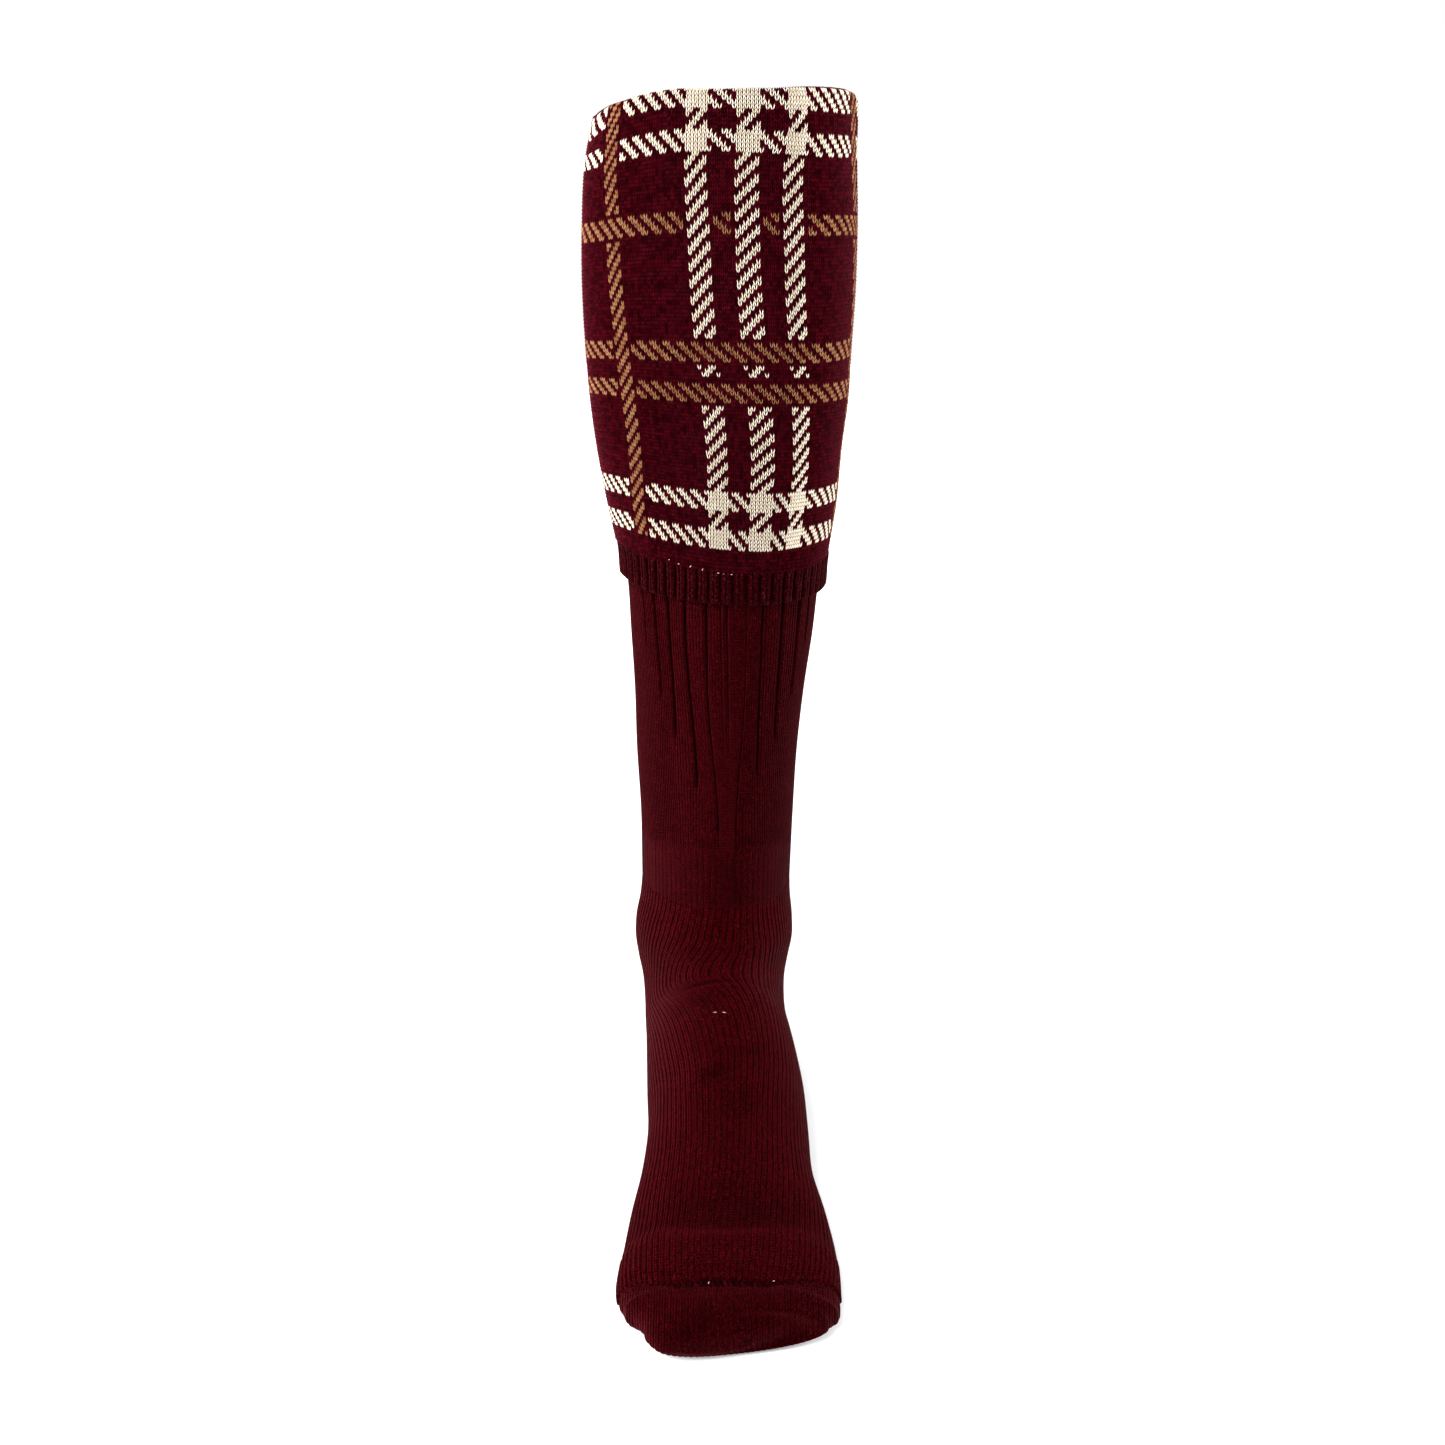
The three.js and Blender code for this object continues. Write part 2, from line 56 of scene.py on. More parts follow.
MM = 0.001
LEG_HEIGHT = -cad_low.z / MM
ANKLE_HEIGHT = 110.0
TOE_HEIGHT = 25.0
CUFF_DEPTH = 187.0
HEM_DEPTH = 13.5
RETURN_DEPTH = 12.0
CALF_WIDTH = 104.6
CALF_DEPTH = 113.0
ANKLE_WIDTH = 66.8
ANKLE_DEPTH = 75.0
FOOT_WIDTH = 82.2
FOOT_FRONT = 190.0
HEEL_BACK = 55.0
CUFF_WALL = 2.2
HEM_WALL = 2.2
HEM_EASE = 0.5
LEG_WALL = 2.0
FOOT_WALL = 2.6
CLEARANCE = 0.3
SEAM_WIDTH = 2.4

HEM_TOP = LEG_HEIGHT - CUFF_DEPTH + HEM_DEPTH
HEM_BOTTOM = LEG_HEIGHT - CUFF_DEPTH
LEG_TOP = LEG_HEIGHT - RETURN_DEPTH - CLEARANCE

# Leg sections, from the ankle up to the fold. at: height share from ankle to fold.
# width, depth: 0 for the ankle's, 1 for the calf's. left, front: share on that side of the axis.
# crest: how far the shin's ridge lies to the right, as a share of the width.
# round: exponent of the front's superellipse.
LEG_COLUMNS = ("at", "width", "left", "depth", "front", "crest", "round")
LEG_SECTIONS = (
    (0.0, 0.0, 0.545, 0.0, 0.533, 0.02, 2.0),
    (0.1, 0.03, 0.537, 0.013, 0.517, 0.03, 2.0),
    (0.19, 0.1, 0.535, 0.08, 0.513, 0.04, 2.0),
    (0.273, 0.178, 0.519, 0.158, 0.506, 0.05, 1.95),
    (0.357, 0.304, 0.503, 0.263, 0.494, 0.07, 1.9),
    (0.42, 0.38, 0.497, 0.355, 0.486, 0.1, 1.85),
    (0.46, 0.454, 0.498, 0.434, 0.481, 0.13, 1.8),
    (0.519, 0.625, 0.504, 0.58, 0.474, 0.16, 1.75),
    (0.6, 0.793, 0.516, 0.763, 0.466, 0.18, 1.7),
    (0.655, 0.9, 0.515, 0.88, 0.461, 0.19, 1.65),
    (0.714, 0.95, 0.517, 0.974, 0.455, 0.19, 1.65),
    (0.786, 1.0, 0.515, 1.0, 0.456, 0.19, 1.65),
    (0.86, 0.99, 0.512, 0.92, 0.464, 0.19, 1.65),
    (0.963, 0.88, 0.502, 0.737, 0.476, 0.18, 1.7),
    (1.0, 0.81, 0.487, 0.66, 0.475, 0.17, 1.7),
)

# Foot sections, fanned round the ankle and then upright. reach, rise: place and height of the
# instep line. heel, sole, low: place and height of the heel or sole line. width: 0 for the
# ankle's, 1 for the foot's. left: share on that side. flat: exponent of the sole side.
FOOT_COLUMNS = ("reach", "rise", "heel", "sole", "low", "width", "left", "flat")
FOOT_SECTIONS = (
    (0.0, 1.0, 0.0, 0.0, 1.0, 0.0, 0.545, 2.0),
    (0.017, 0.93, 0.05, 0.0, 0.882, 0.07, 0.549, 2.0),
    (0.033, 0.87, 0.175, 0.0, 0.745, 0.26, 0.554, 2.0),
    (0.05, 0.83, 0.4, 0.0, 0.58, 0.31, 0.556, 2.05),
    (0.067, 0.794, 0.7, 0.0, 0.4, 0.12, 0.562, 2.1),
    (0.08, 0.765, 0.95, 0.0, 0.218, -0.08, 0.563, 2.2),
    (0.097, 0.735, 0.75, 0.0, 0.05, -0.14, 0.558, 2.4),
    (0.113, 0.706, 0.0, 0.0, -0.018, -0.13, 0.548, 2.8),
    (0.133, 0.673, 0.0, 0.102, -0.018, -0.1, 0.528, 3.0),
    (0.173, 0.612, 0.0, 0.218, -0.018, -0.03, 0.505, 3.0),
    (0.253, 0.512, 0.0, 0.342, -0.018, 0.04, 0.48, 3.0),
    (0.347, 0.406, 0.0, 0.476, -0.018, 0.0, 0.465, 3.0),
    (0.467, 0.288, 0.0, 0.6, -0.018, 0.14, 0.473, 3.0),
    (0.587, 0.188, 0.0, 0.698, -0.018, 0.6, 0.469, 2.9),
    (0.707, 0.094, 0.0, 0.787, -0.018, 0.92, 0.467, 2.8),
    (0.8, 0.041, 0.0, 0.867, -0.018, 1.0, 0.473, 2.2),
    (0.877, 0.006, 0.0, 0.918, -0.01, 0.89, 0.471, 1.8),
)

# Toe sections. at: 0 at the seam, 1 at the tip. width, top, bottom: shares of the toe's own.
# left: share on that side. skew: how much each millimetre to the right lies further back.
TOE_COLUMNS = ("at", "width", "left", "top", "bottom", "skew")
TOE_SECTIONS = (
    (0.0, 1.0, 0.471, 1.0, 0.0, 0.0),
    (0.3, 0.865, 0.425, 0.95, 0.065, 0.05),
    (0.6, 0.78, 0.435, 0.86, 0.11, 0.07),
    (0.85, 0.54, 0.5, 0.73, 0.2, 0.21),
    (1.0, 0.33, 0.6, 0.6, 0.33, 0.16),
)
TOE_WIDTH_SHARE = 0.96
TOE_MIDDLE_SHARE = 0.6
FOOT_MIDDLE_SHARE = 0.62
TOE_TOP_EXPONENT = 2.5
TOE_UNDER_EXPONENT = 1.75
BIG_TOE_SHARE = 0.12


def smooth(low, high, value):
    t = np.clip((np.asarray(value, float) - low) / (high - low), 0.0, 1.0)
    return t * t * (3.0 - 2.0 * t)


def mix(a, b, share):
    return a + (b - a) * share


def bump_at(value, middle, width):
    """Rounded hump of height 1 at the middle."""
    return np.exp(-(((value - middle) / width) ** 2))


def table_row(columns, table, place, by=None):
    """Row of a table at a place, as a dict, by a smooth curve through its rows."""
    table = np.array(table)
    knots = table[:, columns.index(by)] if by else np.arange(len(table), dtype=float)
    place = np.clip(place, knots[0], knots[-1])
    cell = min(np.searchsorted(knots, place, side="right") - 1, len(knots) - 2)
    step = knots[cell + 1] - knots[cell]
    t = (place - knots[cell]) / step
    slope = np.gradient(table, knots, axis=0)
    value = (
        (2 * t**3 - 3 * t**2 + 1) * table[cell]
        + (t**3 - 2 * t**2 + t) * step * slope[cell]
        + (3 * t**2 - 2 * t**3) * table[cell + 1]
        + (t**3 - t**2) * step * slope[cell + 1]
    )
    return dict(zip(columns, value))


OUTLINE_SAMPLES = 1440


def ring_points(shape, shares, offset=0.0):
    """Points of one section at given shares of its length, from where its front crosses x = 0,
    moved outwards by the offset. x to the right, y towards the back or sole."""
    turn = 2 * math.pi * np.arange(OUTLINE_SAMPLES) / OUTLINE_SAMPLES
    across, along = np.sin(turn), np.cos(turn)
    power = 2 / np.where(along > 0, shape["round_front"], shape["round_back"])
    side = np.where(across > 0, shape["right"], shape["left"])
    reach = np.where(along > 0, shape["front"], shape["back"])
    x = side * np.sign(across) * np.abs(across) ** power
    x = x + shape["crest"] * np.maximum(0.0, along) ** 2
    y = -reach * np.sign(along) * np.abs(along) ** power
    points = np.stack([x, y], axis=1)
    ahead = np.roll(points, -1, axis=0)
    lengths = np.concatenate([[0.0], np.cumsum(np.linalg.norm(ahead - points, axis=1))])
    tangent = np.roll(points, -1, axis=0) - np.roll(points, 1, axis=0)
    tangent /= np.linalg.norm(tangent, axis=1)[:, None]
    points = points + offset * np.stack([tangent[:, 1], -tangent[:, 0]], axis=1)
    front = np.nonzero((x < 0) & (ahead[:, 0] >= 0) & (y < 0) & (ahead[:, 1] < 0))[0]
    start = lengths[front[0]] if len(front) else 0.0
    target = (start + np.asarray(shares) * lengths[-1]) % lengths[-1]
    closed = np.concatenate([points, points[:1]])
    return np.stack([np.interp(target, lengths, closed[:, k]) for k in (0, 1)], axis=1)


def sides(width, left):
    """A section's reach to the left and right of the axis."""
    return {"left": width * left, "right": width * (1 - left)}


def leg_shape(height):
    place = (height - ANKLE_HEIGHT) / (LEG_HEIGHT - ANKLE_HEIGHT)
    row = table_row(LEG_COLUMNS, LEG_SECTIONS, place, "at")
    width = mix(ANKLE_WIDTH, CALF_WIDTH, row["width"])
    depth = mix(ANKLE_DEPTH, CALF_DEPTH, row["depth"])
    return {
        **sides(width, row["left"]),
        "front": depth * row["front"],
        "back": depth * (1 - row["front"]),
        "crest": width * row["crest"],
        "round_front": row["round"],
        "round_back": 2.0,
    }


def leg_ring(height, shares, offset=0.0):
    flat = ring_points(leg_shape(height), shares, offset)
    return np.column_stack([flat, np.full(len(flat), height)])


def tilted_ring(top, sole, shape, shares):
    """Ring in the plane through an instep point and a sole point, each given as (y, height)."""
    top, sole = np.array(top), np.array(sole)
    depth = np.linalg.norm(sole - top)
    along = (sole - top) / depth
    middle = depth * shape["middle"]
    flat = ring_points(dict(shape, front=middle, back=depth - middle), shares)
    reach = middle + flat[:, 1]
    y = top[0] + reach * along[0]
    height = np.maximum(0.0, top[1] + reach * along[1])
    return np.column_stack([flat[:, 0], y, height])


ANKLE_FRONT = ANKLE_DEPTH * LEG_SECTIONS[0][LEG_COLUMNS.index("front")]
ANKLE_BACK = ANKLE_DEPTH - ANKLE_FRONT
ANKLE_CREST = ANKLE_WIDTH * LEG_SECTIONS[0][LEG_COLUMNS.index("crest")]
LAST_REACH = FOOT_SECTIONS[-1][FOOT_COLUMNS.index("reach")]
SEAM_START = -mix(ANKLE_FRONT, FOOT_FRONT, LAST_REACH) - CLEARANCE
SEAM_END = SEAM_START - SEAM_WIDTH
TOE_START = SEAM_END - CLEARANCE


def foot_ring(place, shares):
    row = table_row(FOOT_COLUMNS, FOOT_SECTIONS, place)
    width = mix(ANKLE_WIDTH, FOOT_WIDTH, row["width"])
    top = (-mix(ANKLE_FRONT, FOOT_FRONT, row["reach"]), mix(TOE_HEIGHT, ANKLE_HEIGHT, row["rise"]))
    back = mix(ANKLE_BACK, HEEL_BACK, row["heel"]) - row["sole"] * (ANKLE_BACK + FOOT_FRONT)
    shape = {
        **sides(width, row["left"]),
        "middle": mix(ANKLE_FRONT / ANKLE_DEPTH, FOOT_MIDDLE_SHARE, row["reach"]),
        "crest": ANKLE_CREST * (1 - row["reach"]),
        "round_front": 2.0,
        "round_back": row["flat"],
    }
    return tilted_ring(top, (back, row["low"] * ANKLE_HEIGHT), shape, shares)


def toe_ring(place, shares):
    row = table_row(TOE_COLUMNS, TOE_SECTIONS, place, "at")
    width = FOOT_WIDTH * TOE_WIDTH_SHARE * row["width"]
    y = mix(TOE_START, -FOOT_FRONT, place)
    shape = {
        **sides(width, row["left"]),
        "middle": TOE_MIDDLE_SHARE,
        "crest": 0.0,
        "round_front": TOE_TOP_EXPONENT,
        "round_back": TOE_UNDER_EXPONENT,
    }
    ring = tilted_ring((y, TOE_HEIGHT * row["top"]), (y, TOE_HEIGHT * row["bottom"]), shape, shares)
    ring[:, 1] += row["skew"] * (ring[:, 0] + FOOT_WIDTH * BIG_TOE_SHARE)
    return ring


# Grids: arrays of rows of ring points. A column runs along the sock, a row round it.


def grid_normals(grid):
    """Outward unit normals of a grid whose rows close on themselves."""
    round_it = np.roll(grid, -1, axis=1) - np.roll(grid, 1, axis=1)
    along = np.gradient(grid, axis=0)
    normal = np.cross(along, round_it)
    normal /= np.maximum(np.linalg.norm(normal, axis=2, keepdims=True), 1e-9)
    return normal


def even_shares(count):
    return np.arange(count) / count


def read_grid(grid, rows, shares):
    """Grid values at fractional rows and at shares of the ring."""
    count = grid.shape[1]
    rows = np.clip(rows, 0, grid.shape[0] - 1.001)
    columns = (np.asarray(shares) % 1.0) * count
    i, j = rows.astype(int), columns.astype(int) % count
    u, v = (rows - i)[..., None], (columns - columns.astype(int))[..., None]
    k = (j + 1) % count
    low = grid[i, j] * (1 - v) + grid[i, k] * v
    high = grid[i + 1, j] * (1 - v) + grid[i + 1, k] * v
    return low * (1 - u) + high * u


def way_along(rings):
    """Mean way covered from the first ring to each."""
    steps = np.diff(rings, axis=0, prepend=rings[:1])
    return np.cumsum(np.linalg.norm(steps, axis=2).mean(axis=1))


# Meshes


def put_in_scene(name, data):
    thing = bpy.data.objects.new(name, data)
    bpy.context.scene.collection.objects.link(thing)
    return thing


def make_object(name, points, faces, material, uv=None, **values):
    """Smooth-shaded object from points in millimetres above the sole, with one UV pair a corner and
    named values, one a point."""
    co = np.array(points, dtype=np.float32)
    co[:, 2] -= LEG_HEIGHT
    co *= MM
    faces = np.asarray(faces, dtype=np.int32)
    mesh = bpy.data.meshes.new(name)
    mesh.vertices.add(len(co))
    mesh.vertices.foreach_set("co", co.ravel())
    mesh.loops.add(faces.size)
    mesh.loops.foreach_set("vertex_index", faces.ravel())
    mesh.polygons.add(len(faces))
    starts = np.arange(0, faces.size, faces.shape[1], dtype=np.int32)
    mesh.polygons.foreach_set("loop_start", starts)
    mesh.polygons.foreach_set("use_smooth", np.ones(len(faces), dtype=bool))
    if uv is not None:
        layer = mesh.uv_layers.new(name="knit")
        layer.data.foreach_set("uv", np.asarray(uv, dtype=np.float32).ravel())
    for key, value in values.items():
        layer = mesh.attributes.new(key, "FLOAT", "POINT")
        layer.data.foreach_set("value", np.asarray(value, dtype=np.float32).ravel())
    mesh.update(calc_edges=True)
    mesh.validate()
    mesh.materials.append(material)
    return put_in_scene(name, mesh)


def grid_faces(rows, columns, wrap_rows=True):
    """Quads between neighbouring rows of a grid whose rows close on themselves."""
    last = rows if wrap_rows else rows - 1
    i, j = np.meshgrid(np.arange(last), np.arange(columns), indexing="ij")
    here, below = i * columns, (i + 1) % rows * columns
    beside = (j + 1) % columns
    return np.stack([here + j, below + j, below + beside, here + beside], -1).reshape(-1, 4)


def grid_uv(v_rows, columns, wales):
    """UV corners of grid_faces: u counts wales round the ring and v counts rows of stitches."""
    rows = len(v_rows)
    i, j = np.meshgrid(np.arange(rows), np.arange(columns), indexing="ij")
    u0, u1 = j / columns * wales, (j + 1) / columns * wales
    v_rows = np.asarray(v_rows)
    v0, v1 = v_rows[i], v_rows[(i + 1) % rows]
    corners = [(u0, v0), (u0, v1), (u1, v1), (u1, v0)]
    return np.stack([np.stack(c, -1) for c in corners], axis=2).reshape(-1, 2)


def make_tube(name, rings, v_rows, wales, material, **values):
    """Object from rings that run along the outside and back along the inside."""
    grid = np.stack(rings)
    count, columns = grid.shape[:2]
    uv = grid_uv(v_rows, columns, wales)
    return make_object(name, grid.reshape(-1, 3), grid_faces(count, columns), material, uv, **values)


def strip_faces(count, rows):
    """Quads of a number of small strips, each of some rows of three points."""
    corners = [k * 3 + e for k in range(rows - 1) for e in range(2)]
    quads = np.array([(a, a + 1, a + 4, a + 3) for a in corners])
    return (quads[None] + (np.arange(count) * rows * 3)[:, None, None]).reshape(-1, 4)


# Materials


class Shader:
    """Small helper to wire a material's nodes."""

    def __init__(self, name):
        self.material = bpy.data.materials.new(name)
        self.material.use_nodes = True
        self.nodes = self.material.node_tree.nodes
        self.links = self.material.node_tree.links
        self.bsdf = self.nodes["Principled BSDF"]

    def add(self, kind, **inputs):
        node = self.nodes.new(kind)
        for key, value in inputs.items():
            self.put(node.inputs[key.replace("_", " ")], value)
        return node

    def put(self, socket, value):
        if isinstance(value, bpy.types.NodeSocket):
            self.links.new(value, socket)
        else:
            socket.default_value = value

    def math(self, operation, a, b=0.0, c=0.0):
        node = self.nodes.new("ShaderNodeMath")
        node.operation = operation
        for socket, value in zip(node.inputs, (a, b, c)):
            self.put(socket, value)
        return node.outputs[0]

    def noise(self, scale, detail, roughness):
        node = self.add("ShaderNodeTexNoise", Scale=scale, Detail=detail, Roughness=roughness)
        place = self.add("ShaderNodeTexCoord").outputs["Object"]
        self.links.new(place, node.inputs["Vector"])
        return node.outputs["Fac"]

    def ramp(self, factor, low, high, start=0.0, end=1.0):
        node = self.nodes.new("ShaderNodeValToRGB")
        node.color_ramp.elements[0].position = start
        node.color_ramp.elements[1].position = end
        node.color_ramp.elements[0].color = (*low, 1.0)
        node.color_ramp.elements[1].color = (*high, 1.0)
        self.links.new(factor, node.inputs["Fac"])
        return node.outputs["Color"]

    def mix(self, factor, a, b, kind="MIX"):
        node = self.nodes.new("ShaderNodeMix")
        node.data_type = "RGBA"
        node.blend_type = kind
        for key, value in (("Factor", factor), ("A", a), ("B", b)):
            self.put(node.inputs[key], value)
        return node.outputs["Result"]

    def multiply(self, a, b):
        return self.mix(1.0, a, b, "MULTIPLY")

    def without(self, value):
        """What is left of 1."""
        return self.math("SUBTRACT", 1.0, value)

    def bump(self, height, distance, strength=1.0, normal=None):
        node = self.add("ShaderNodeBump", Height=height, Distance=distance, Strength=strength)
        if normal is not None:
            self.links.new(normal, node.inputs["Normal"])
        return node.outputs["Normal"]

    def finish(self, values):
        """Set the shader's own sockets and return the material."""
        for key, value in values.items():
            self.put(self.bsdf.inputs[key], value)
        return self.material


def linear(hex_color):
    """Linear colour of a hexadecimal sRGB one."""
    parts = [int(hex_color[i : i + 2], 16) / 255 for i in (0, 2, 4)]
    return tuple(p / 12.92 if p <= 0.04045 else ((p + 0.055) / 1.055) ** 2.4 for p in parts)


WOOL_ROUGHNESS = 0.85
WOOL_GLOSS = 0.03
SHEEN_ROUGHNESS = 0.3


def finish_wool(shader, color, normal, nap, sheen_tint):
    return shader.finish({
        "Base Color": color,
        "Normal": normal,
        "Roughness": WOOL_ROUGHNESS,
        "Specular IOR Level": WOOL_GLOSS,
        "Specular Tint": (*sheen_tint, 1.0),
        "Sheen Weight": nap,
        "Sheen Roughness": SHEEN_ROUGHNESS,
        "Sheen Tint": (*sheen_tint, 1.0),
    })


def knit_coordinates(shader):
    """The knit UVs: wales round the sock and rows of stitches along it."""
    uv = shader.nodes.new("ShaderNodeUVMap")
    uv.uv_map = "knit"
    parts = shader.add("ShaderNodeSeparateXYZ", Vector=uv.outputs[0])
    return parts.outputs["X"], parts.outputs["Y"]


def valley_between(shader, wale):
    """1 in the valley between two wales and 0 over the middle of a wale."""
    across = shader.math("ABSOLUTE", shader.math("SUBTRACT", shader.math("FRACT", wale), 0.5))
    return shader.math("MULTIPLY", across, 2.0)


def stitch_height(shader, across, row):
    """Height of V stitches: two slanted legs to a wale, one stitch to a row."""
    leg = shader.math("SINE", shader.math("MULTIPLY", across, math.pi))
    leg = shader.math("POWER", shader.math("MAXIMUM", leg, 0.0), 0.6)
    slanted = shader.math("FRACT", shader.math("MULTIPLY_ADD", across, 0.6, row))
    along = shader.math("SINE", shader.math("MULTIPLY", slanted, math.pi))
    along = shader.math("MULTIPLY_ADD", shader.math("POWER", along, 0.5), 0.6, 0.4)
    return shader.math("MULTIPLY", leg, along)


def stitch_chance(shader, wale, row):
    """A random number for each stitch."""
    cell = shader.add(
        "ShaderNodeCombineXYZ",
        X=shader.math("FLOOR", wale),
        Y=shader.math("FLOOR", row),
    )
    noise = shader.nodes.new("ShaderNodeTexWhiteNoise")
    noise.noise_dimensions = "2D"
    shader.links.new(cell.outputs[0], noise.inputs["Vector"])
    return noise.outputs["Value"]


def attribute(shader, name):
    node = shader.nodes.new("ShaderNodeAttribute")
    node.attribute_name = name
    return node.outputs["Fac"]


WHITE = (1.0, 1.0, 1.0)
# Colour of the painted shade at the raised stitches' sunk edges and ends
YARN_EDGE_SHADE = (0.12, 0.08, 0.08)
FIBRE_BUMP = 0.00012


def yarn_material(name, dark, light, nap, sheen_tint):
    """Yarn of the raised stitches: each has a tone of its own, darkened with painted shade at its
    sunk edges, with loose fibres in the bump."""
    shader = Shader(name)
    strands = shader.noise(5200.0, 2.0, 0.7)
    tone = shader.math("MULTIPLY", attribute(shader, "tone"), 0.6)
    factor = shader.math("MULTIPLY_ADD", strands, 0.4, tone)
    color = shader.ramp(factor, linear(dark), linear(light), 0.15, 0.85)
    color = shader.multiply(color, shader.ramp(attribute(shader, "hollow"), WHITE, YARN_EDGE_SHADE))
    normal = shader.bump(strands, FIBRE_BUMP, 0.8)
    return finish_wool(shader, color, normal, nap, sheen_tint)


STITCH_GAP_SHADE = (0.3, 0.25, 0.25)
# Colour at full painted shade, down grooves and creases and under the seam
GROOVE_SHADE = (0.03, 0.01, 0.01)
GRAIN_BUMP = 0.0004
SPECK_LEVEL = 0.62
SPECK_SHARE = 0.45


def knit_material(name, dark, light, fuzz_highlight, depth, nap, sheen_tint, valley=0.12):
    """Plain knit: V stitches in the bump, painted shade between stitches and down in the grooves, a
    line of painted shade between the wales but where the mesh has wider ones, each stitch a little
    lighter or darker at random, with paler specks of fuzz, painted partly as highlights."""
    shader = Shader(name)
    wale, row = knit_coordinates(shader)
    across = valley_between(shader, wale)
    height = stitch_height(shader, across, row)
    hollow = attribute(shader, "hollow")
    patch = shader.math("MULTIPLY", shader.noise(70.0, 3.0, 0.55), 0.06)
    grain = shader.noise(1500.0, 3.0, 0.65)
    factor = shader.math("MULTIPLY_ADD", stitch_chance(shader, wale, row), 0.08, patch)
    factor = shader.math("MULTIPLY_ADD", grain, 0.86, factor)
    color = shader.ramp(factor, linear(dark), linear(light), 0.38, 0.66)
    # Painted shade between the stitches, where the stitch bump is low
    color = shader.multiply(color, shader.ramp(height, STITCH_GAP_SHADE, WHITE, 0.05, 0.6))
    # Painted shade in a line between the wales, as dark as valley gives, but not where the mesh has
    # wide wales
    line = shader.math("MULTIPLY", across, shader.without(attribute(shader, "plain")))
    color = shader.multiply(color, shader.ramp(line, WHITE, (valley,) * 3, 0.35, 0.9))
    # Painted shade from the values stored on each point: grooves, creases, rib valleys and the seam
    color = shader.multiply(color, shader.ramp(hollow, WHITE, GROOVE_SHADE))
    # Paler specks of fuzz, painted partly as highlights, which fade where painted shade lies
    specks = shader.math("GREATER_THAN", shader.noise(1700.0, 2.0, 0.8), SPECK_LEVEL)
    lit = shader.math("MULTIPLY", specks, shader.without(hollow))
    fuzz_highlight_share = shader.math("MULTIPLY", lit, SPECK_SHARE)
    color = shader.mix(fuzz_highlight_share, color, (*linear(fuzz_highlight), 1.0))
    normal = shader.bump(height, depth)
    normal = shader.bump(grain, GRAIN_BUMP, 0.8, normal)
    return finish_wool(shader, color, normal, nap, sheen_tint)


BURGUNDY_SHEEN = (0.8, 0.04, 0.08)
CUFF_SHEEN = (0.85, 0.12, 0.2)
CREAM_SHEEN = (0.9, 0.85, 0.75)
TAN_SHEEN = (0.85, 0.6, 0.45)

# Each with its dark and light tone, the knit also with the colour of its fuzz specks, painted
# partly as highlights, and the depth of its stitches in metres, and then how much nap it has
ground_yarn = yarn_material("burgundy_yarn", "1c0003", "4c0612", 0.3, CUFF_SHEEN)
cream_yarn = yarn_material("cream_yarn", "ecdfc2", "fdf4e2", 0.1, CREAM_SHEEN)
tan_yarn = yarn_material("tan_yarn", "825434", "b0805c", 0.08, TAN_SHEEN)
# The backing's near-black burgundy is painted shade for the gaps between the cuff's stitches
backing_shade_wool = knit_material("backing_knit_shaded", "0e0002", "200006", "3c0a16", 0.0004, 0.1, CUFF_SHEEN)
leg_wool = knit_material("leg_knit", "060000", "300003", "761a1e", 0.0005, 0.16, BURGUNDY_SHEEN)
foot_wool = knit_material("foot_knit", "080000", "3c0004", "761a1e", 0.0006, 0.14, BURGUNDY_SHEEN)
link_yarn = yarn_material("link_yarn", "0c0000", "4c0c14", 0.1, BURGUNDY_SHEEN)
rib_wool = knit_material(
    "rib_knit", "080000", "2e0104", "6c262c", 0.0005, 0.09, BURGUNDY_SHEEN, valley=0.1
)
fibre_yarn = yarn_material("fibre_yarn", "b88a80", "e0c4b4", 0.1, CREAM_SHEEN)


# Cuff: a turned-over tube. Its face is measured by the way down from the top of the fold.

OUTER = CLEARANCE + CUFF_WALL
FOLD_RADIUS = (OUTER + LEG_WALL) / 2
FOLD_QUARTER = FOLD_RADIUS * math.pi / 2
FOLD_BASE = LEG_HEIGHT - FOLD_RADIUS
CUFF_LENGTH = FOLD_QUARTER + FOLD_BASE - HEM_TOP

STITCHES_ROUND = 224
STITCH_ROWS = 121
ROW_PITCH = CUFF_LENGTH / STITCH_ROWS
BASE_SINK = 0.35
YARN_RISE = 0.3

# How much higher or lower the fold lies at each share of the ring
FOLD_WAVE = (
    (-0.5, 0.0), (-0.33, -1.5), (-0.25, -3.2), (-0.2, -3.2), (-0.165, -1.5), (-0.13, -0.3),
    (-0.1, 1.0), (-0.06, 1.8), (0.0, 0.8), (0.06, 0.6), (0.1, 1.5), (0.14, 2.2), (0.17, 2.6),
    (0.21, 2.8), (0.26, 1.2), (0.32, 0.0), (0.5, 0.0),
)
# Way down the cuff over which the fold's wave dies out
WAVE_REACH = 40.0


def from_front(shares):
    """Share of the ring from its front, from -0.5 to 0.5."""
    return (np.asarray(shares) + 0.5) % 1.0 - 0.5


def fold_wave(ways, shares):
    fade = 1.0 - smooth(0.0, WAVE_REACH, ways)
    return fade * np.interp(from_front(shares), *np.transpose(FOLD_WAVE))


def cuff_ring(way, shares, proud=0.0):
    """Ring of the cuff's face at a way down from the fold's top: negative inside the opening."""
    middle = OUTER - FOLD_RADIUS
    radius = FOLD_RADIUS + proud
    if way > FOLD_QUARTER:
        ring = leg_ring(FOLD_BASE - (way - FOLD_QUARTER), shares, middle + radius)
    elif way < -FOLD_QUARTER:
        ring = leg_ring(FOLD_BASE + (way + FOLD_QUARTER), shares, middle - radius)
    else:
        turn = way / FOLD_RADIUS
        ring = leg_ring(FOLD_BASE, shares, middle + radius * math.sin(turn))
        ring[:, 2] += radius * math.cos(turn)
    ring[:, 2] += fold_wave(way, shares)
    return ring


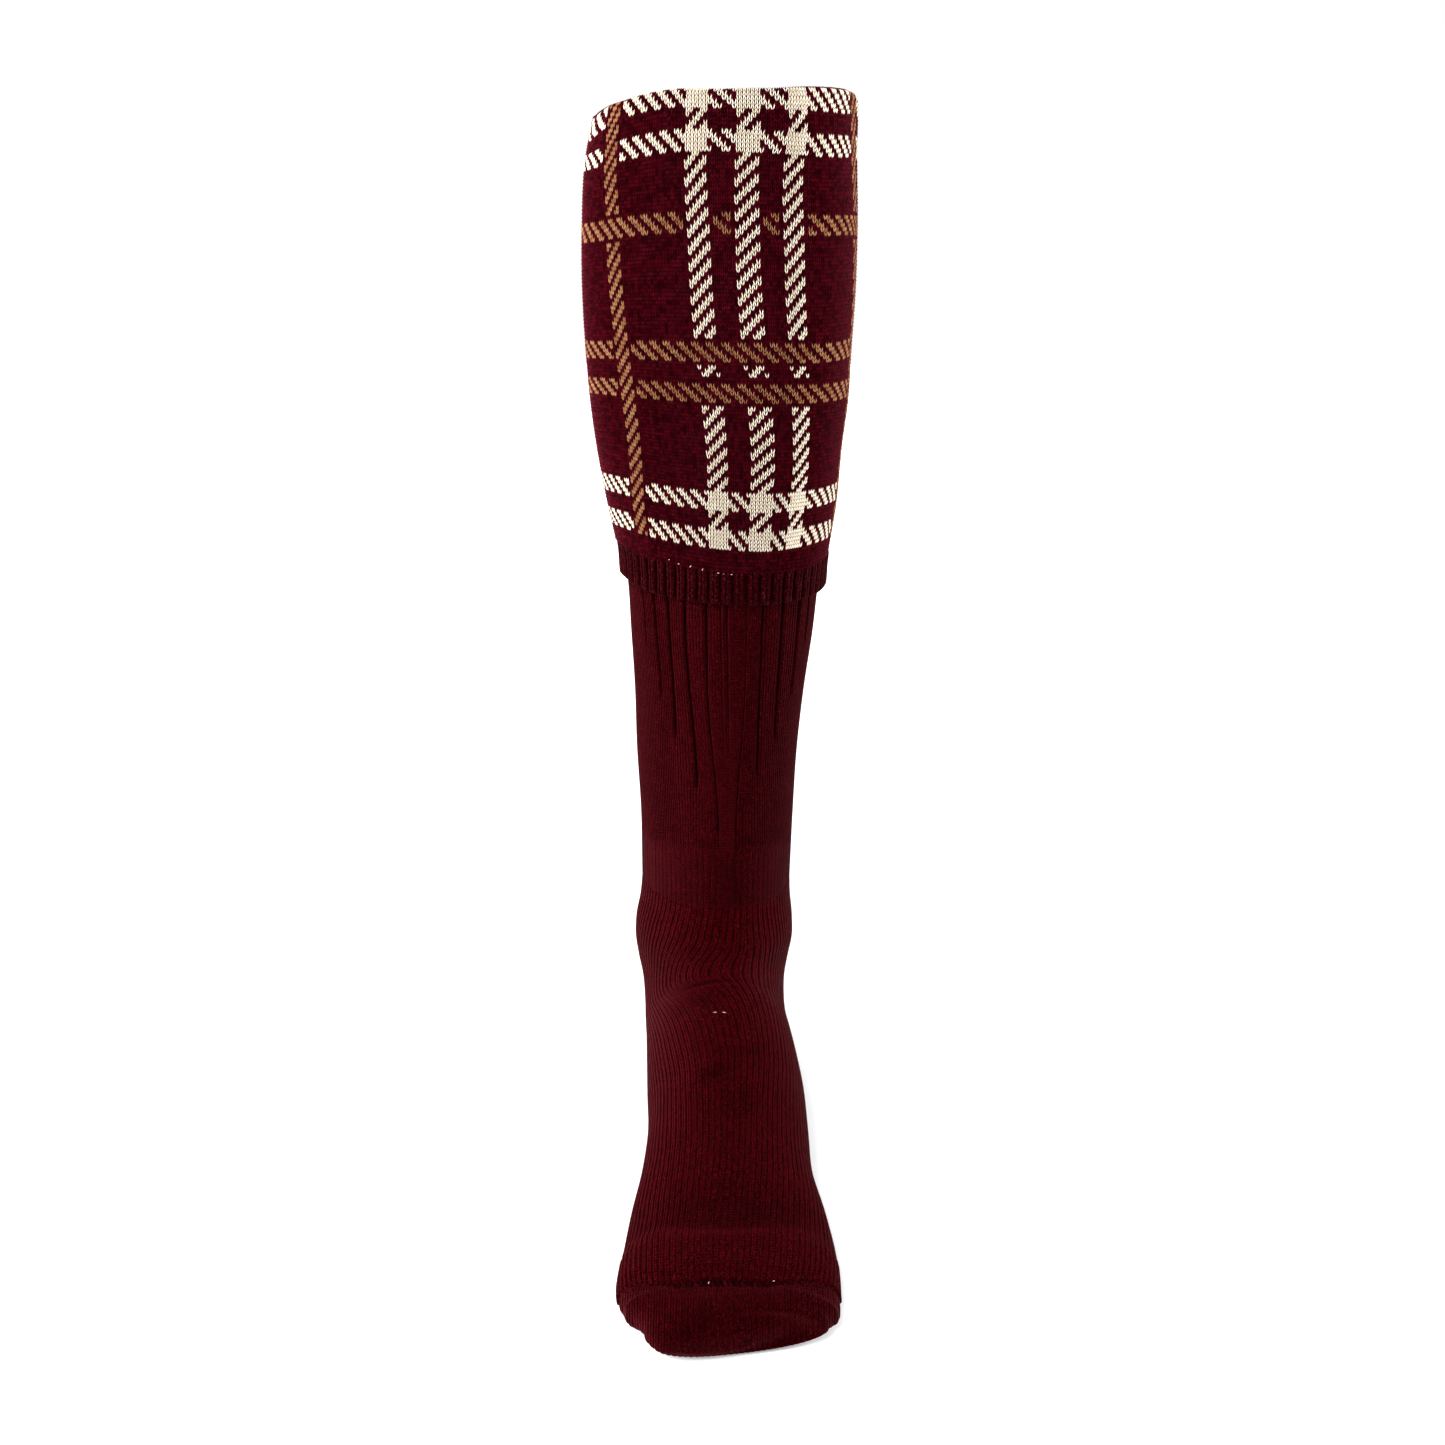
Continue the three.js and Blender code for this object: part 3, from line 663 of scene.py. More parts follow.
FACE_STEP = 0.5
FACE_COLUMNS = 1120
face_ways = np.arange(-FOLD_QUARTER - 8.0, CUFF_LENGTH + 5.0, FACE_STEP)
face_grid = np.stack([cuff_ring(way, even_shares(FACE_COLUMNS)) for way in face_ways])
face_normals = grid_normals(face_grid)


def on_face(ways, shares, proud):
    """Points on the cuff's face, stood out by an amount."""
    rows = (np.asarray(ways) - face_ways[0]) / FACE_STEP
    out = read_grid(face_normals, rows, shares) * np.asarray(proud)[..., None]
    return read_grid(face_grid, rows, shares) + out


# The check pattern, in stitches. Columns count from the middle cream stripe, rows from the fold.
# The stripes repeat twice round the leg. Their stitches step one column each row.
REPEAT = STITCHES_ROUND // 2
STRIPE = 6
CREAM_STRIPES = (-12, 0, 12)
TAN_STRIPES = (-38, 38)
BAND = 5
CREAM_BANDS = (0, 10, 100, 110)
TAN_BAND_UNDER = 29
TAN_BANDS_OVER = (60, 71)
LAST_PATTERN_ROW = CREAM_BANDS[-1] + BAND - 1
GROUND, CREAM, TAN = 0, 1, 2

# Where the stripes lie: for each way down the cuff, how far round the ring the tan stripe and the
# three cream stripes have strayed to the right, in thousandths of the ring
STRIPE_WAYS = (12, 28, 38, 60, 71, 82, 123, 134, 153)
STRIPE_STRAY = (
    (20, 25, 33, 33),
    (21, 24, 30, 25),
    (26, 26, 30, 24),
    (30, 30, 31, 25),
    (34, 32, 33, 26),
    (37, 35, 36, 29),
    (47, 48, 50, 41),
    (47, 50, 52, 44),
    (43, 51, 52, 44),
)
STRAY_COLUMNS = (-112, -41, -35, -15, -9, -3, 3, 9, 15, 35, 41, 112)
# How much the outer stripes are drawn together at their edges, in thousandths of the ring
DRAW = 2.8
# How far the tan stripe on the right has strayed past the one on the left
RIGHT_TAN_STRAY = 6

# How far the rows have slipped down at each way down the cuff and share of the ring
ROW_WAYS = (-6.0, 3.6, 18.0, 45.5, 90.0, 106.0, 148.0, 162.5, 175.0)
ROW_SHARES = (
    -0.5, -0.35, -0.25, -0.2, -0.17, -0.13, -0.095, -0.062,
    0.0, 0.063, 0.115, 0.16, 0.2, 0.3, 0.5,
)
ROW_SLIP = (
    (0.0, 0.0, 0.0, 0.0, 0.0, 0.0, 0.0, 0.0, 0.0, 0.0, 0.0, 0.0, 0.0, 0.0, 0.0),
    (0.0, 1.5, 4.6, 5.8, 3.0, 0.3, 0.3, 0.4, 0.6, 1.1, 2.1, 2.6, 1.5, 0.5, 0.0),
    (0.0, 0.8, 2.6, 2.6, 2.4, 1.5, 1.0, 0.2, 0.0, 1.2, 2.4, 2.0, 1.0, 0.0, 0.0),
    (0.0, 1.0, 2.4, 3.0, 2.7, 1.4, 0.6, 0.1, 0.4, 1.0, 1.2, 0.6, 0.3, 0.0, 0.0),
    (0.0, 1.0, 2.0, 2.7, 2.4, 1.9, 1.6, 1.7, 1.7, 1.7, 2.3, 1.7, 1.0, 0.0, 0.0),
    (0.0, 0.0, 0.4, 0.5, 0.2, 0.2, 0.4, 0.7, 0.7, 0.6, 0.9, 1.0, 0.6, 0.0, 0.0),
    (-1.5, -2.2, -2.8, -2.8, -2.8, -2.2, -1.5, -0.7, -0.2, 0.2, -0.3, -0.3, 0.0, -0.5, -1.5),
    (-1.8, -2.5, -2.8, -2.8, -2.8, -2.2, -1.3, -0.5, 0.6, 1.2, 0.1, 0.0, 0.4, -0.5, -1.8),
    (-2.2, -3.2, -4.4, -4.3, -3.4, -1.0, -0.1, 0.7, 1.6, 1.9, 1.9, 1.7, 1.4, 0.0, -2.2),
)


def read_table(table, row_knots, column_knots, rows, columns):
    """Values between the entries of a table, along its rows and columns."""
    table = np.array(table, dtype=float)
    r = np.interp(rows, row_knots, np.arange(len(row_knots)))
    c = np.interp(columns, column_knots, np.arange(len(column_knots)))
    i = np.minimum(r.astype(int), len(row_knots) - 2)
    j = np.minimum(c.astype(int), len(column_knots) - 2)
    low = mix(table[i, j], table[i, j + 1], c - j)
    high = mix(table[i + 1, j], table[i + 1, j + 1], c - j)
    return mix(low, high, r - i)


def stray_table():
    """The stripes' stray at their edges and at the back."""
    tan, left, centre, right = np.transpose(STRIPE_STRAY).astype(float)
    on_left = (centre, tan + DRAW, tan - DRAW, left, left, centre, centre)
    on_right = (right + DRAW, right - DRAW, tan + RIGHT_TAN_STRAY, tan + RIGHT_TAN_STRAY, centre)
    return np.stack(on_left + on_right, axis=1) / 1000


STRAY = stray_table()


def stitch_share(columns, ways):
    """Share of the ring of a place counted in stitch columns from the middle stripe."""
    columns, ways = np.broadcast_arrays(columns, ways)
    half = STITCHES_ROUND / 2
    turned = (columns + half) % STITCHES_ROUND - half
    return turned / STITCHES_ROUND + read_table(STRAY, STRIPE_WAYS, STRAY_COLUMNS, ways, turned)


def row_slip(ways, shares):
    ways, shares = np.broadcast_arrays(ways, shares)
    return read_table(ROW_SLIP, ROW_WAYS, ROW_SHARES, ways, from_front(shares))


def hem_drop(shares):
    """How far the cuff's foot hangs down at each share of the ring."""
    return row_slip(np.full(np.shape(shares), ROW_WAYS[-1]), shares)


def stitch_way(rows, shares):
    """Way down the cuff of a place counted in stitch rows."""
    ways = rows * ROW_PITCH
    return ways + row_slip(ways, shares)


def away_from(values, starts, size):
    """Distance in stitches from the nearest of some stripes: 0 inside one."""
    away = [np.maximum(start - values, values - (start + size - 1)) for start in starts]
    return np.maximum(np.min(away, axis=0), 0)


def chart(columns, rows):
    """Yarn of each stitch of the pattern."""
    c = (columns + REPEAT // 2) % REPEAT - REPEAT // 2
    half = STRIPE // 2
    from_cream = away_from(c, [k - half for k in CREAM_STRIPES], STRIPE)
    from_tan = away_from(c, [k - half for k in TAN_STRIPES], STRIPE)
    from_cream_band = away_from(rows, CREAM_BANDS, BAND)
    from_under = away_from(rows, (TAN_BAND_UNDER,), BAND)
    from_over = away_from(rows, TAN_BANDS_OVER, BAND)
    rising = (c + rows + 2) % 4 < 2
    falling = (c - rows) % 4 < 2
    between_creams = (np.abs(c + 6.5) < 3) | (np.abs(c - 5.5) < 3)
    under_falling = np.where(between_creams, (c - rows - 1) % 4 < 2, (c - rows + 1) % 4 < 2)
    inside = (rows >= 0) & (rows <= LAST_PATTERN_ROW)
    yarn = np.full(c.shape, GROUND)
    yarn[(from_cream_band == 0) & falling & (from_tan > 1)] = CREAM
    yarn[(from_under == 0) & under_falling & (from_cream > 1)] = TAN
    yarn[(from_over == 0) & falling & (from_tan > 1)] = TAN
    first, last = TAN_BANDS_OVER
    between = (rows > first + BAND) & (rows < last - 2)
    cream_shows = (from_over > 1) & ((rows < first) | (rows > last) | between)
    yarn[(from_cream == 0) & rising & cream_shows & inside] = CREAM
    yarn[(from_cream == 0) & (from_cream_band == 0)] = CREAM
    yarn[(from_tan == 0) & rising & (from_under > 1) & inside] = TAN
    return yarn


# One leg of a V stitch, from its foot in the middle up to the side. x, y: stitch widths and rows
# from the stitch's middle, y downwards. half: half the yarn's width in stitch widths. rise: share
# of the yarn's height.
LEG_PATH = (
    (0.09, 0.66, 0.08, 0.0),
    (0.23, 0.28, 0.125, 0.95),
    (0.34, -0.22, 0.115, 1.0),
    (0.42, -0.7, 0.05, 0.2),
)
TAN_PATH = (
    (0.09, 0.66, 0.08, 0.0),
    (0.23, 0.28, 0.115, 0.95),
    (0.34, -0.22, 0.105, 1.0),
    (0.42, -0.7, 0.045, 0.2),
)
SHORT_LEG_PATH = (
    (0.07, 0.68, 0.12, 0.0),
    (0.27, 0.05, 0.165, 1.0),
    (0.41, -0.7, 0.07, 0.1),
)
EDGE_SINK = 0.25
EDGE_RISE = 0.3
EDGE_SLANT = 0.35


def stitch_piece(name, columns, rows, path, material, rng):
    """Raised V stitches at the given columns and rows, as one mesh."""
    steps, count = len(path), len(columns)
    x, y, half, rise = np.transpose(path)
    offsets, downs, heights, hollow = [], [], [], []
    for side in (-1.0, 1.0):
        for edge in (-1.0, 0.0, 1.0):
            offsets.append(side * x + edge * half)
            downs.append(y + edge * side * half * EDGE_SLANT)
            height = rise * YARN_RISE
            heights.append(height * EDGE_RISE - EDGE_SINK if edge else height)
            # Painted shade: deep at both ends of each leg, less along its sunk edges, none on its
            # crest
            hollow.append(np.where(rise < 0.5, 0.9, 0.75 if edge else 0.0))
    parts = (offsets, downs, heights, hollow)
    offsets, downs, heights, hollow = (np.array(part)[None] for part in parts)
    sway = rng.uniform(-0.03, 0.03, (count, 1, 1))
    lift = rng.uniform(0.85, 1.12, (count, 1, 1))
    middle_share = stitch_share(columns + 0.5, rows * ROW_PITCH)[:, None, None]
    way = stitch_way(rows[:, None, None] + 0.5 + downs + sway, middle_share)
    share = stitch_share(columns[:, None, None] + 0.5 + offsets + sway, way)
    points = on_face(way, share, heights * lift).reshape(-1, 3)
    lines = [line * steps + k for line in (0, 1, 3, 4) for k in range(steps - 1)]
    quads = np.array([(a, a + 1, a + steps + 1, a + steps) for a in lines])
    faces = (quads[None] + (np.arange(count) * 6 * steps)[:, None, None]).reshape(-1, 4)
    tone = np.repeat(rng.uniform(0.0, 1.0, count), 6 * steps)
    hollow = np.tile(hollow.ravel(), count)
    return make_object(name, points, faces, material, tone=tone, hollow=hollow)


# The rows begin inside the opening
FIRST_ROW = -6


def make_stitches():
    rng = np.random.default_rng(7)
    every_row = np.arange(FIRST_ROW, STITCH_ROWS)
    columns, rows = np.meshgrid(np.arange(STITCHES_ROUND), every_row, indexing="ij")
    columns, rows = columns.ravel(), rows.ravel()
    yarn = chart(columns, rows)
    upper = rows < STITCH_ROWS // 2
    ground = yarn == GROUND
    parts = (
        ("cream_stitches", yarn == CREAM, LEG_PATH, cream_yarn),
        ("tan_stitches", yarn == TAN, TAN_PATH, tan_yarn),
        ("burgundy_stitches_upper", ground & upper, SHORT_LEG_PATH, ground_yarn),
        ("burgundy_stitches_lower", ground & ~upper, SHORT_LEG_PATH, ground_yarn),
    )
    pieces = []
    for name, chosen, path, material in parts:
        pieces.append(stitch_piece(name, columns[chosen], rows[chosen], path, material, rng))
    return pieces


SLOT_INSET = 0.2
# Rows over which the backing keeps a ring to each row of stitches, for the bend of the fold
FOLD_ROWS = 8


def make_cuff_base():
    """Backing of the cuff under its stitches: the face, the underside and the inner wall."""
    shares = even_shares(3 * STITCHES_ROUND // 2)
    slot_top = LEG_HEIGHT - CUFF_WALL - CLEARANCE
    fold_end = FOLD_ROWS * ROW_PITCH
    fold_ways = np.arange(-FOLD_QUARTER - 7.5, fold_end, ROW_PITCH)
    ways = np.concatenate([fold_ways, np.arange(fold_end, CUFF_LENGTH, 2 * ROW_PITCH)])
    rings = [cuff_ring(way, shares, -BASE_SINK) for way in ways]
    rings.append(leg_ring(HEM_TOP + CLEARANCE, shares, CLEARANCE))
    for offset in (CLEARANCE, -SLOT_INSET):
        rings.append(leg_ring(slot_top, shares, offset))
        rings[-1][:, 2] += fold_wave(0.0, shares)
    rings.append(leg_ring(LEG_TOP, shares, -SLOT_INSET))
    rows = list(ways / ROW_PITCH)
    rows += [rows[-1] + 1 + k for k in range(4)]
    hollow = np.zeros((len(rings), len(shares)))
    return make_tube("cuff_backing", rings, rows, STITCHES_ROUND, backing_shade_wool, hollow=hollow)


# Hem: rib of two raised wales and a narrow valley

HEM_RIBS = 56
HEM_SAMPLES = 12
RIB_RELIEF = 1.1
WALE_RELIEF = 0.3
RIB_HANG = 0.8
# Rings down the hem's outside
HEM_RINGS = 14


def ridge(phase):
    """Rounded ridge over each whole step of the phase, with a sharp valley between."""
    return np.sqrt(np.abs(np.sin(math.pi * phase)))


def hem_profile(raised, wale):
    """Rows of the hem from its top round its foot and up inside: height above the sole, how far
    out, share of the lower edge's drop, and painted shade, in the rib valleys and inside."""
    outer = HEM_EASE + HEM_WALL
    rows = []
    for t in np.linspace(0.0, 1.0, HEM_RINGS):
        height = mix(HEM_TOP + 0.8, HEM_BOTTOM + 1.0, t)
        start = float(smooth(0.0, 0.1, t))
        flare = 0.4 * float(smooth(0.3, 1.0, t))
        out = outer - 0.45 + flare + start * (raised * RIB_RELIEF - 0.6) + wale
        rows.append((height, out, t, 1.0 - raised))
    full = np.ones_like(raised)
    inner = HEM_EASE + raised * 0.2
    rows.append((HEM_BOTTOM + 0.2, outer - 0.5 + raised * 0.6, 1.0, 1.0 - 0.8 * raised))
    rows.append((HEM_BOTTOM, outer - 1.2 + raised * 0.3, 1.0, 0.8 * full))
    rows.append((HEM_BOTTOM + 0.5, inner, 1.0, full))
    rows.append((HEM_BOTTOM + 5.0, inner, 0.6, full))
    rows.append((HEM_TOP, HEM_EASE * full, 0.0, full))
    return rows


def make_hem():
    shares = even_shares(HEM_RIBS * HEM_SAMPLES)
    phase = shares * HEM_RIBS
    raised = smooth(0.09, 0.22, np.abs(phase - np.round(phase)))
    wale = ridge(2 * phase) * raised * WALE_RELIEF
    top_drop = hem_drop(shares)
    foot_drop = np.where(top_drop < 0, 0.85, 0.5) * top_drop + RIB_HANG * (raised - 0.5)
    rings, hollow, v_rows = [], [], []
    # dark: the painted shade of each ring
    for height, out, lower, dark in hem_profile(raised, wale):
        base = leg_ring(height, shares, 0.0)
        ring = base + (leg_ring(height, shares, 1.0) - base) * out[:, None]
        ring[:, 2] -= mix(top_drop, foot_drop, lower)
        rings.append(ring)
        hollow.append(dark)
        v_rows.append((LEG_HEIGHT - height) / ROW_PITCH)
    return make_tube("hem_rib", rings, v_rows, HEM_RIBS * 2, rib_wool, hollow=np.stack(hollow))


# Leg: ribs part at grooves that end in a V, in front and again behind

LEG_RIBS = 30
RIB_WALES = 7
LEG_WALES = LEG_RIBS * RIB_WALES
LEG_SAMPLES = 4
LEG_ROW_STEP = 2.3
ROW_STEP = 1.3
WALE_LEAN = 0.0118
GROOVES_EACH_SIDE = 5
GROOVE_LOWEST = 142.0
GROOVE_STEP = 20.5
GROOVE_DEPTH = 1.5
GROOVE_HALF_WALES = 0.8
# Way over which a groove bends above its end, and its wale under it
GROOVE_BEND = 70.0
# Height of the dark line across the shin, under which the wales are wide
PANEL_LINE = 139.0
# Front grooves from left to right: share of the ring at the hem and at the groove's end, and the
# end's height
FRONT_GROOVES = (
    (-0.164, -0.153, 221.0),
    (-0.131, -0.12, 200.0),
    (-0.097, -0.09, 183.0),
    (-0.064, -0.047, 162.0),
    (-0.026, -0.006, 141.0),
    (0.007, 0.012, 179.0),
    (0.038, 0.0245, 141.0),
    (0.0635, 0.065, 168.0),
    (0.1, 0.102, 183.0),
    (0.137, 0.141, 200.0),
    (0.17, 0.17, 221.0),
)
# A faint groove between two of them: its wale, end and depth share
FAINT_GROOVE = (-2.0, 172.0, 0.5)
LEG_WALE_RELIEF = 0.3
FOOT_WALE_RELIEF = 0.45
BAND_WALE_RELIEF = 0.4
# Wales round the foot, which begin at the line across the shin
FOOT_WALES = 84


def groove_rows(height):
    """At a height: the wale number, share of the ring and depth share of each groove."""
    steps = np.arange(-GROOVES_EACH_SIDE, GROOVES_EACH_SIDE + 1)
    start, end, lowest = np.transpose(FRONT_GROOVES)
    front = mix(end, start, smooth(lowest, lowest + GROOVE_BEND, height))
    front = mix(steps / LEG_RIBS + WALE_LEAN, front, smooth(lowest - GROOVE_BEND, lowest, height))
    back = 0.5 + steps / LEG_RIBS
    back_lowest = GROOVE_LOWEST + GROOVE_STEP * np.abs(np.abs(steps) - 1)
    wales = RIB_WALES * np.concatenate([steps, steps + LEG_RIBS / 2])
    depth = smooth(-1.0, 5.0, height - np.concatenate([lowest, back_lowest]))
    return wales, np.concatenate([front, back]), depth


LEG_FIRST_WALE = -RIB_WALES * GROOVES_EACH_SIDE
leg_wales = LEG_FIRST_WALE + np.arange(LEG_WALES * LEG_SAMPLES) / LEG_SAMPLES
# Painted shade in the valley beside each wale, a little different at random from one to the next
VALLEY_SHADES = np.random.default_rng(5).uniform(0.1, 0.75, LEG_WALES)
valley_shade = VALLEY_SHADES[np.round(leg_wales).astype(int) % LEG_WALES]


def leg_row(height):
    """Shares of the ring, relief and painted shade of one row of the leg's knit."""
    wales, places, depth = groove_rows(height)
    knots = np.append(wales, wales[0] + LEG_WALES)
    shares = np.interp(leg_wales, knots, np.append(places, places[0] + 1.0))
    away = np.abs(leg_wales[:, None] - wales[None])
    groove = (np.clip(1 - away / GROOVE_HALF_WALES, 0, 1) * depth).max(axis=1)
    wale, lowest, faint = FAINT_GROOVE
    faint_here = faint * float(smooth(-1.0, 8.0, height - lowest))
    groove = np.maximum(groove, faint_here * np.clip(1 - np.abs(leg_wales - wale) / 0.6, 0, 1))
    on_shin = 1 - smooth(0.045, 0.075, np.abs(shares - 0.01))
    panel = max(0.0, 1 - abs(height - PANEL_LINE) / LEG_ROW_STEP) * on_shin
    coarse = float(1 - smooth(PANEL_LINE - 10.0, PANEL_LINE, height))
    wide = ridge(shares * FOOT_WALES)
    knit = mix(ridge(leg_wales), wide, coarse) * LEG_WALE_RELIEF
    fine = (1 - coarse) * valley_shade * (1 - ridge(leg_wales))
    # Painted shade down the grooves, along the sunk line across the shin, in the wide wales' valleys
    # below it with a little all over, and in the fine valleys above it
    shades = (smooth(0.0, 0.7, groove), 0.7 * panel, coarse * (0.15 + 0.8 * (1 - wide)), fine)
    dark = np.max(shades, axis=0)
    return shares, knit - GROOVE_DEPTH * groove - 0.25 * panel, dark, np.full(len(shares), coarse)


def and_inside(values, inside):
    """Values of the rings outside, followed by 0 for those inside."""
    return np.concatenate([values, np.zeros(inside.shape[:2])])


# How deep the valleys between the wales lie under the solids' surface
KNIT_SINK = 0.2
HIDDEN_RINGS = 12
# One in so many of the rings outside has a ring inside
LEG_INSIDE_STEP = 6


def make_leg():
    shown = np.arange(ANKLE_HEIGHT, HEM_TOP + 4.0, LEG_ROW_STEP)
    hidden = np.linspace(HEM_TOP + 8.0, LEG_TOP, HIDDEN_RINGS)
    heights = np.concatenate([shown, hidden])[::-1]
    shares, relief, dark, plain = map(np.stack, zip(*map(leg_row, heights)))
    relief[heights >= HEM_TOP + 5.0] = 0.0
    grid = np.stack([leg_ring(h, row) for h, row in zip(heights, shares)])
    outside = grid + grid_normals(grid) * (relief - KNIT_SINK)[..., None]
    few = slice(None, None, LEG_INSIDE_STEP)
    inside = [leg_ring(h, row, -LEG_WALL) for h, row in zip(heights[few], shares[few])]
    inside = np.stack(inside[::-1])
    inside[0, :, 2] = heights[-1]
    rings = np.concatenate([outside, inside])
    v_rows = (LEG_HEIGHT - np.append(heights, inside[:, 0, 2])) / ROW_STEP
    dark, plain = and_inside(dark, inside), and_inside(plain, inside)
    return make_tube("leg_knit", rings, v_rows, LEG_WALES, leg_wool, hollow=dark, plain=plain)


# Foot and toe: one surface without relief, cut at the seam

FOOT_SAMPLES = 5
FOOT_ROWS_EACH = 10
LAST_PLACE = len(FOOT_SECTIONS) - 1
FOOT_ROWS = LAST_PLACE * FOOT_ROWS_EACH
TOE_ROWS = 44
SURFACE_COLUMNS = 1080
# Rows that the seam bends back at the sides of the toe
SEAM_BEND = 7.0

# How far the left edge of the sole is drawn in where the toe begins: by foot place, the toe's
# running on from the last one to the next whole number
SOLE_TUCK = (
    (15.0, 0.0), (15.6, 0.8), (16.0, 2.4), (16.08, 3.0), (16.2, 1.2), (16.3, 0.0), (17.0, 0.0),
)


def tucked(ring, place):
    amount = np.interp(place, *np.transpose(SOLE_TUCK))
    low = 1 - smooth(10.0, 20.0, ring[:, 2])
    ring[:, 0] += amount * low * smooth(8.0, 24.0, -ring[:, 0])
    return ring


surface_shares = even_shares(SURFACE_COLUMNS)
foot_places = np.arange(FOOT_ROWS + 1) / FOOT_ROWS_EACH
toe_places = np.sin(np.linspace(0.0, math.pi / 2, TOE_ROWS))
foot_rings = [tucked(foot_ring(p, surface_shares), p) for p in foot_places]
toe_rings = [tucked(toe_ring(t, surface_shares), LAST_PLACE + t) for t in toe_places]
surface = np.stack(foot_rings + toe_rings)
surface_normals = grid_normals(surface)
surface_way = way_along(surface)


def on_foot(rows, shares, proud):
    """Points on the foot's surface, stood out by an amount."""
    proud = np.asarray(proud)[..., None]
    points = read_grid(surface, rows, shares) + read_grid(surface_normals, rows, shares) * proud
    points[..., 2] = np.maximum(points[..., 2], 0.0)
    return points


def seam_bend(shares):
    return SEAM_BEND * smooth(0.08, 0.25, np.abs(from_front(shares)))


# How far the wales stray round the ring: foot place, stray left of the instep and right of it
FOOT_SWAY = (
    (0, 0.0, 0.0), (2, -0.006, -0.001), (6.2, -0.03, -0.006), (10.8, 0.034, 0.028),
    (12, 0.034, 0.03), (15, 0.018, 0.018), (16, 0.016, 0.016),
)


def foot_sway(places, shares):
    """How far the wales stray round the ring, levelling off at each place of the table."""
    knots, left, right = np.transpose(FOOT_SWAY)
    cell = np.clip(np.searchsorted(knots, places, side="right") - 1, 0, len(knots) - 2)
    ease = smooth(knots[cell], knots[cell + 1], places)
    left, right = (mix(side[cell], side[cell + 1], ease)[:, None] for side in (left, right))
    front = from_front(shares)
    stray = mix(left, right, smooth(0.0, 0.11, front)[None])
    return stray * (1 - smooth(0.25, 0.42, np.abs(front)))[None]


# Creases across the instep. place, share: middle. half: half length round the ring. width: in
# places. depth: millimetres.
INSTEP_CREASES = (
    (7.45, -0.028, 0.04, 0.22, 0.7),
    (7.0, 0.06, 0.05, 0.2, 0.25),
    (8.7, -0.05, 0.06, 0.3, 0.25),
    (10.9, -0.012, 0.03, 0.16, 0.8),
    (10.3, 0.05, 0.05, 0.25, 0.3),
    (11.6, 0.03, 0.07, 0.3, 0.25),
)
BAND_START = 14.45
BAND_END = 15.9
BAND_RELIEF = 0.9
# Where the heel pocket begins round the ring, and the foot place where it ends under the sole
HEEL_SIDE_SHARE = 0.27
HEEL_END = 8.0


def foot_relief(places, shares):
    """Relief and painted shade of the foot's knit: creases at the instep with painted shade in them,
    a sunk line round the heel pocket, and the raised toe band with painted shade in the dip before
    it.
    """
    place, front = places[:, None], from_front(shares)
    top = 1 - smooth(0.13, 0.27, np.abs(front))
    side = np.abs(front) - HEEL_SIDE_SHARE
    heel = np.maximum(
        bump_at(side, 0.0, 0.004) * (place < HEEL_END),
        bump_at(place, HEEL_END, 0.12) * smooth(0.0, 0.01, side),
    )
    # A sunk line round the heel pocket, with painted shade in it
    relief, dark = -0.45 * heel, 0.6 * heel
    for middle, share, half, width, depth in INSTEP_CREASES:
        here = bump_at(place + 3.0 * (front - share), middle, width) * bump_at(front, share, half)
        swell = bump_at(place, middle, 3 * width) * bump_at(front, share, 1.3 * half)
        relief = relief + depth * (0.5 * swell - here)
        # Painted shade in the crease
        dark = np.maximum(dark, 0.75 * here * min(1.0, depth / 0.6))
    past = place - BAND_START + 0.3 * smooth(0.0, 0.16, np.abs(front))
    before_end = 1 - smooth(BAND_END - 0.5, BAND_END, place)
    relief = relief + BAND_RELIEF * top * smooth(-0.12, 0.06, past) * before_end
    relief = relief - 0.35 * top * bump_at(place, 13.75, 0.35)
    # Painted shade in the dip before the raised band
    before_band = smooth(12.9, 14.0, place) * (1 - smooth(-0.1, 0.05, past))
    return relief, np.maximum(dark, 0.4 * top * before_band)


def make_foot():
    wales = even_shares(FOOT_WALES * FOOT_SAMPLES)
    place = foot_places[:, None]
    shares = wales[None] + foot_sway(foot_places, wales)
    rows = place * FOOT_ROWS_EACH - seam_bend(shares) * smooth(13.5, 16.0, place)
    relief, dark = foot_relief(foot_places, shares)
    start = smooth(0.0, 1.5, place)
    on_band = smooth(-0.1, 0.1, place - BAND_START)
    wale_relief = mix(LEG_WALE_RELIEF, FOOT_WALE_RELIEF, start) + BAND_WALE_RELIEF * on_band
    knit = ridge(wales * FOOT_WALES)[None] * wale_relief
    outside = on_foot(rows, shares, knit + relief - KNIT_SINK)
    inside = on_foot(rows, shares, np.full(rows.shape, -FOOT_WALL))[::-FOOT_ROWS_EACH]
    rings = np.concatenate([outside, inside])
    way = surface_way[: FOOT_ROWS + 1] / ROW_STEP
    v_rows = np.append(way, way[::-FOOT_ROWS_EACH])
    hollow = and_inside(dark, inside)
    return make_tube("foot_knit", rings, v_rows, FOOT_WALES, foot_wool, hollow=hollow)


TOE_WALE_PITCH = 2.0
TOE_WALE_RELIEF = 0.32
TOE_PIECE_ROWS = 60
TOE_SAMPLES = 480
# Rings that close the tip, as shares of its last ring, and how far their middle stands out
TIP_SHARES = (0.8, 0.55, 0.3, 0.08)
TIP_BULGE = 0.35


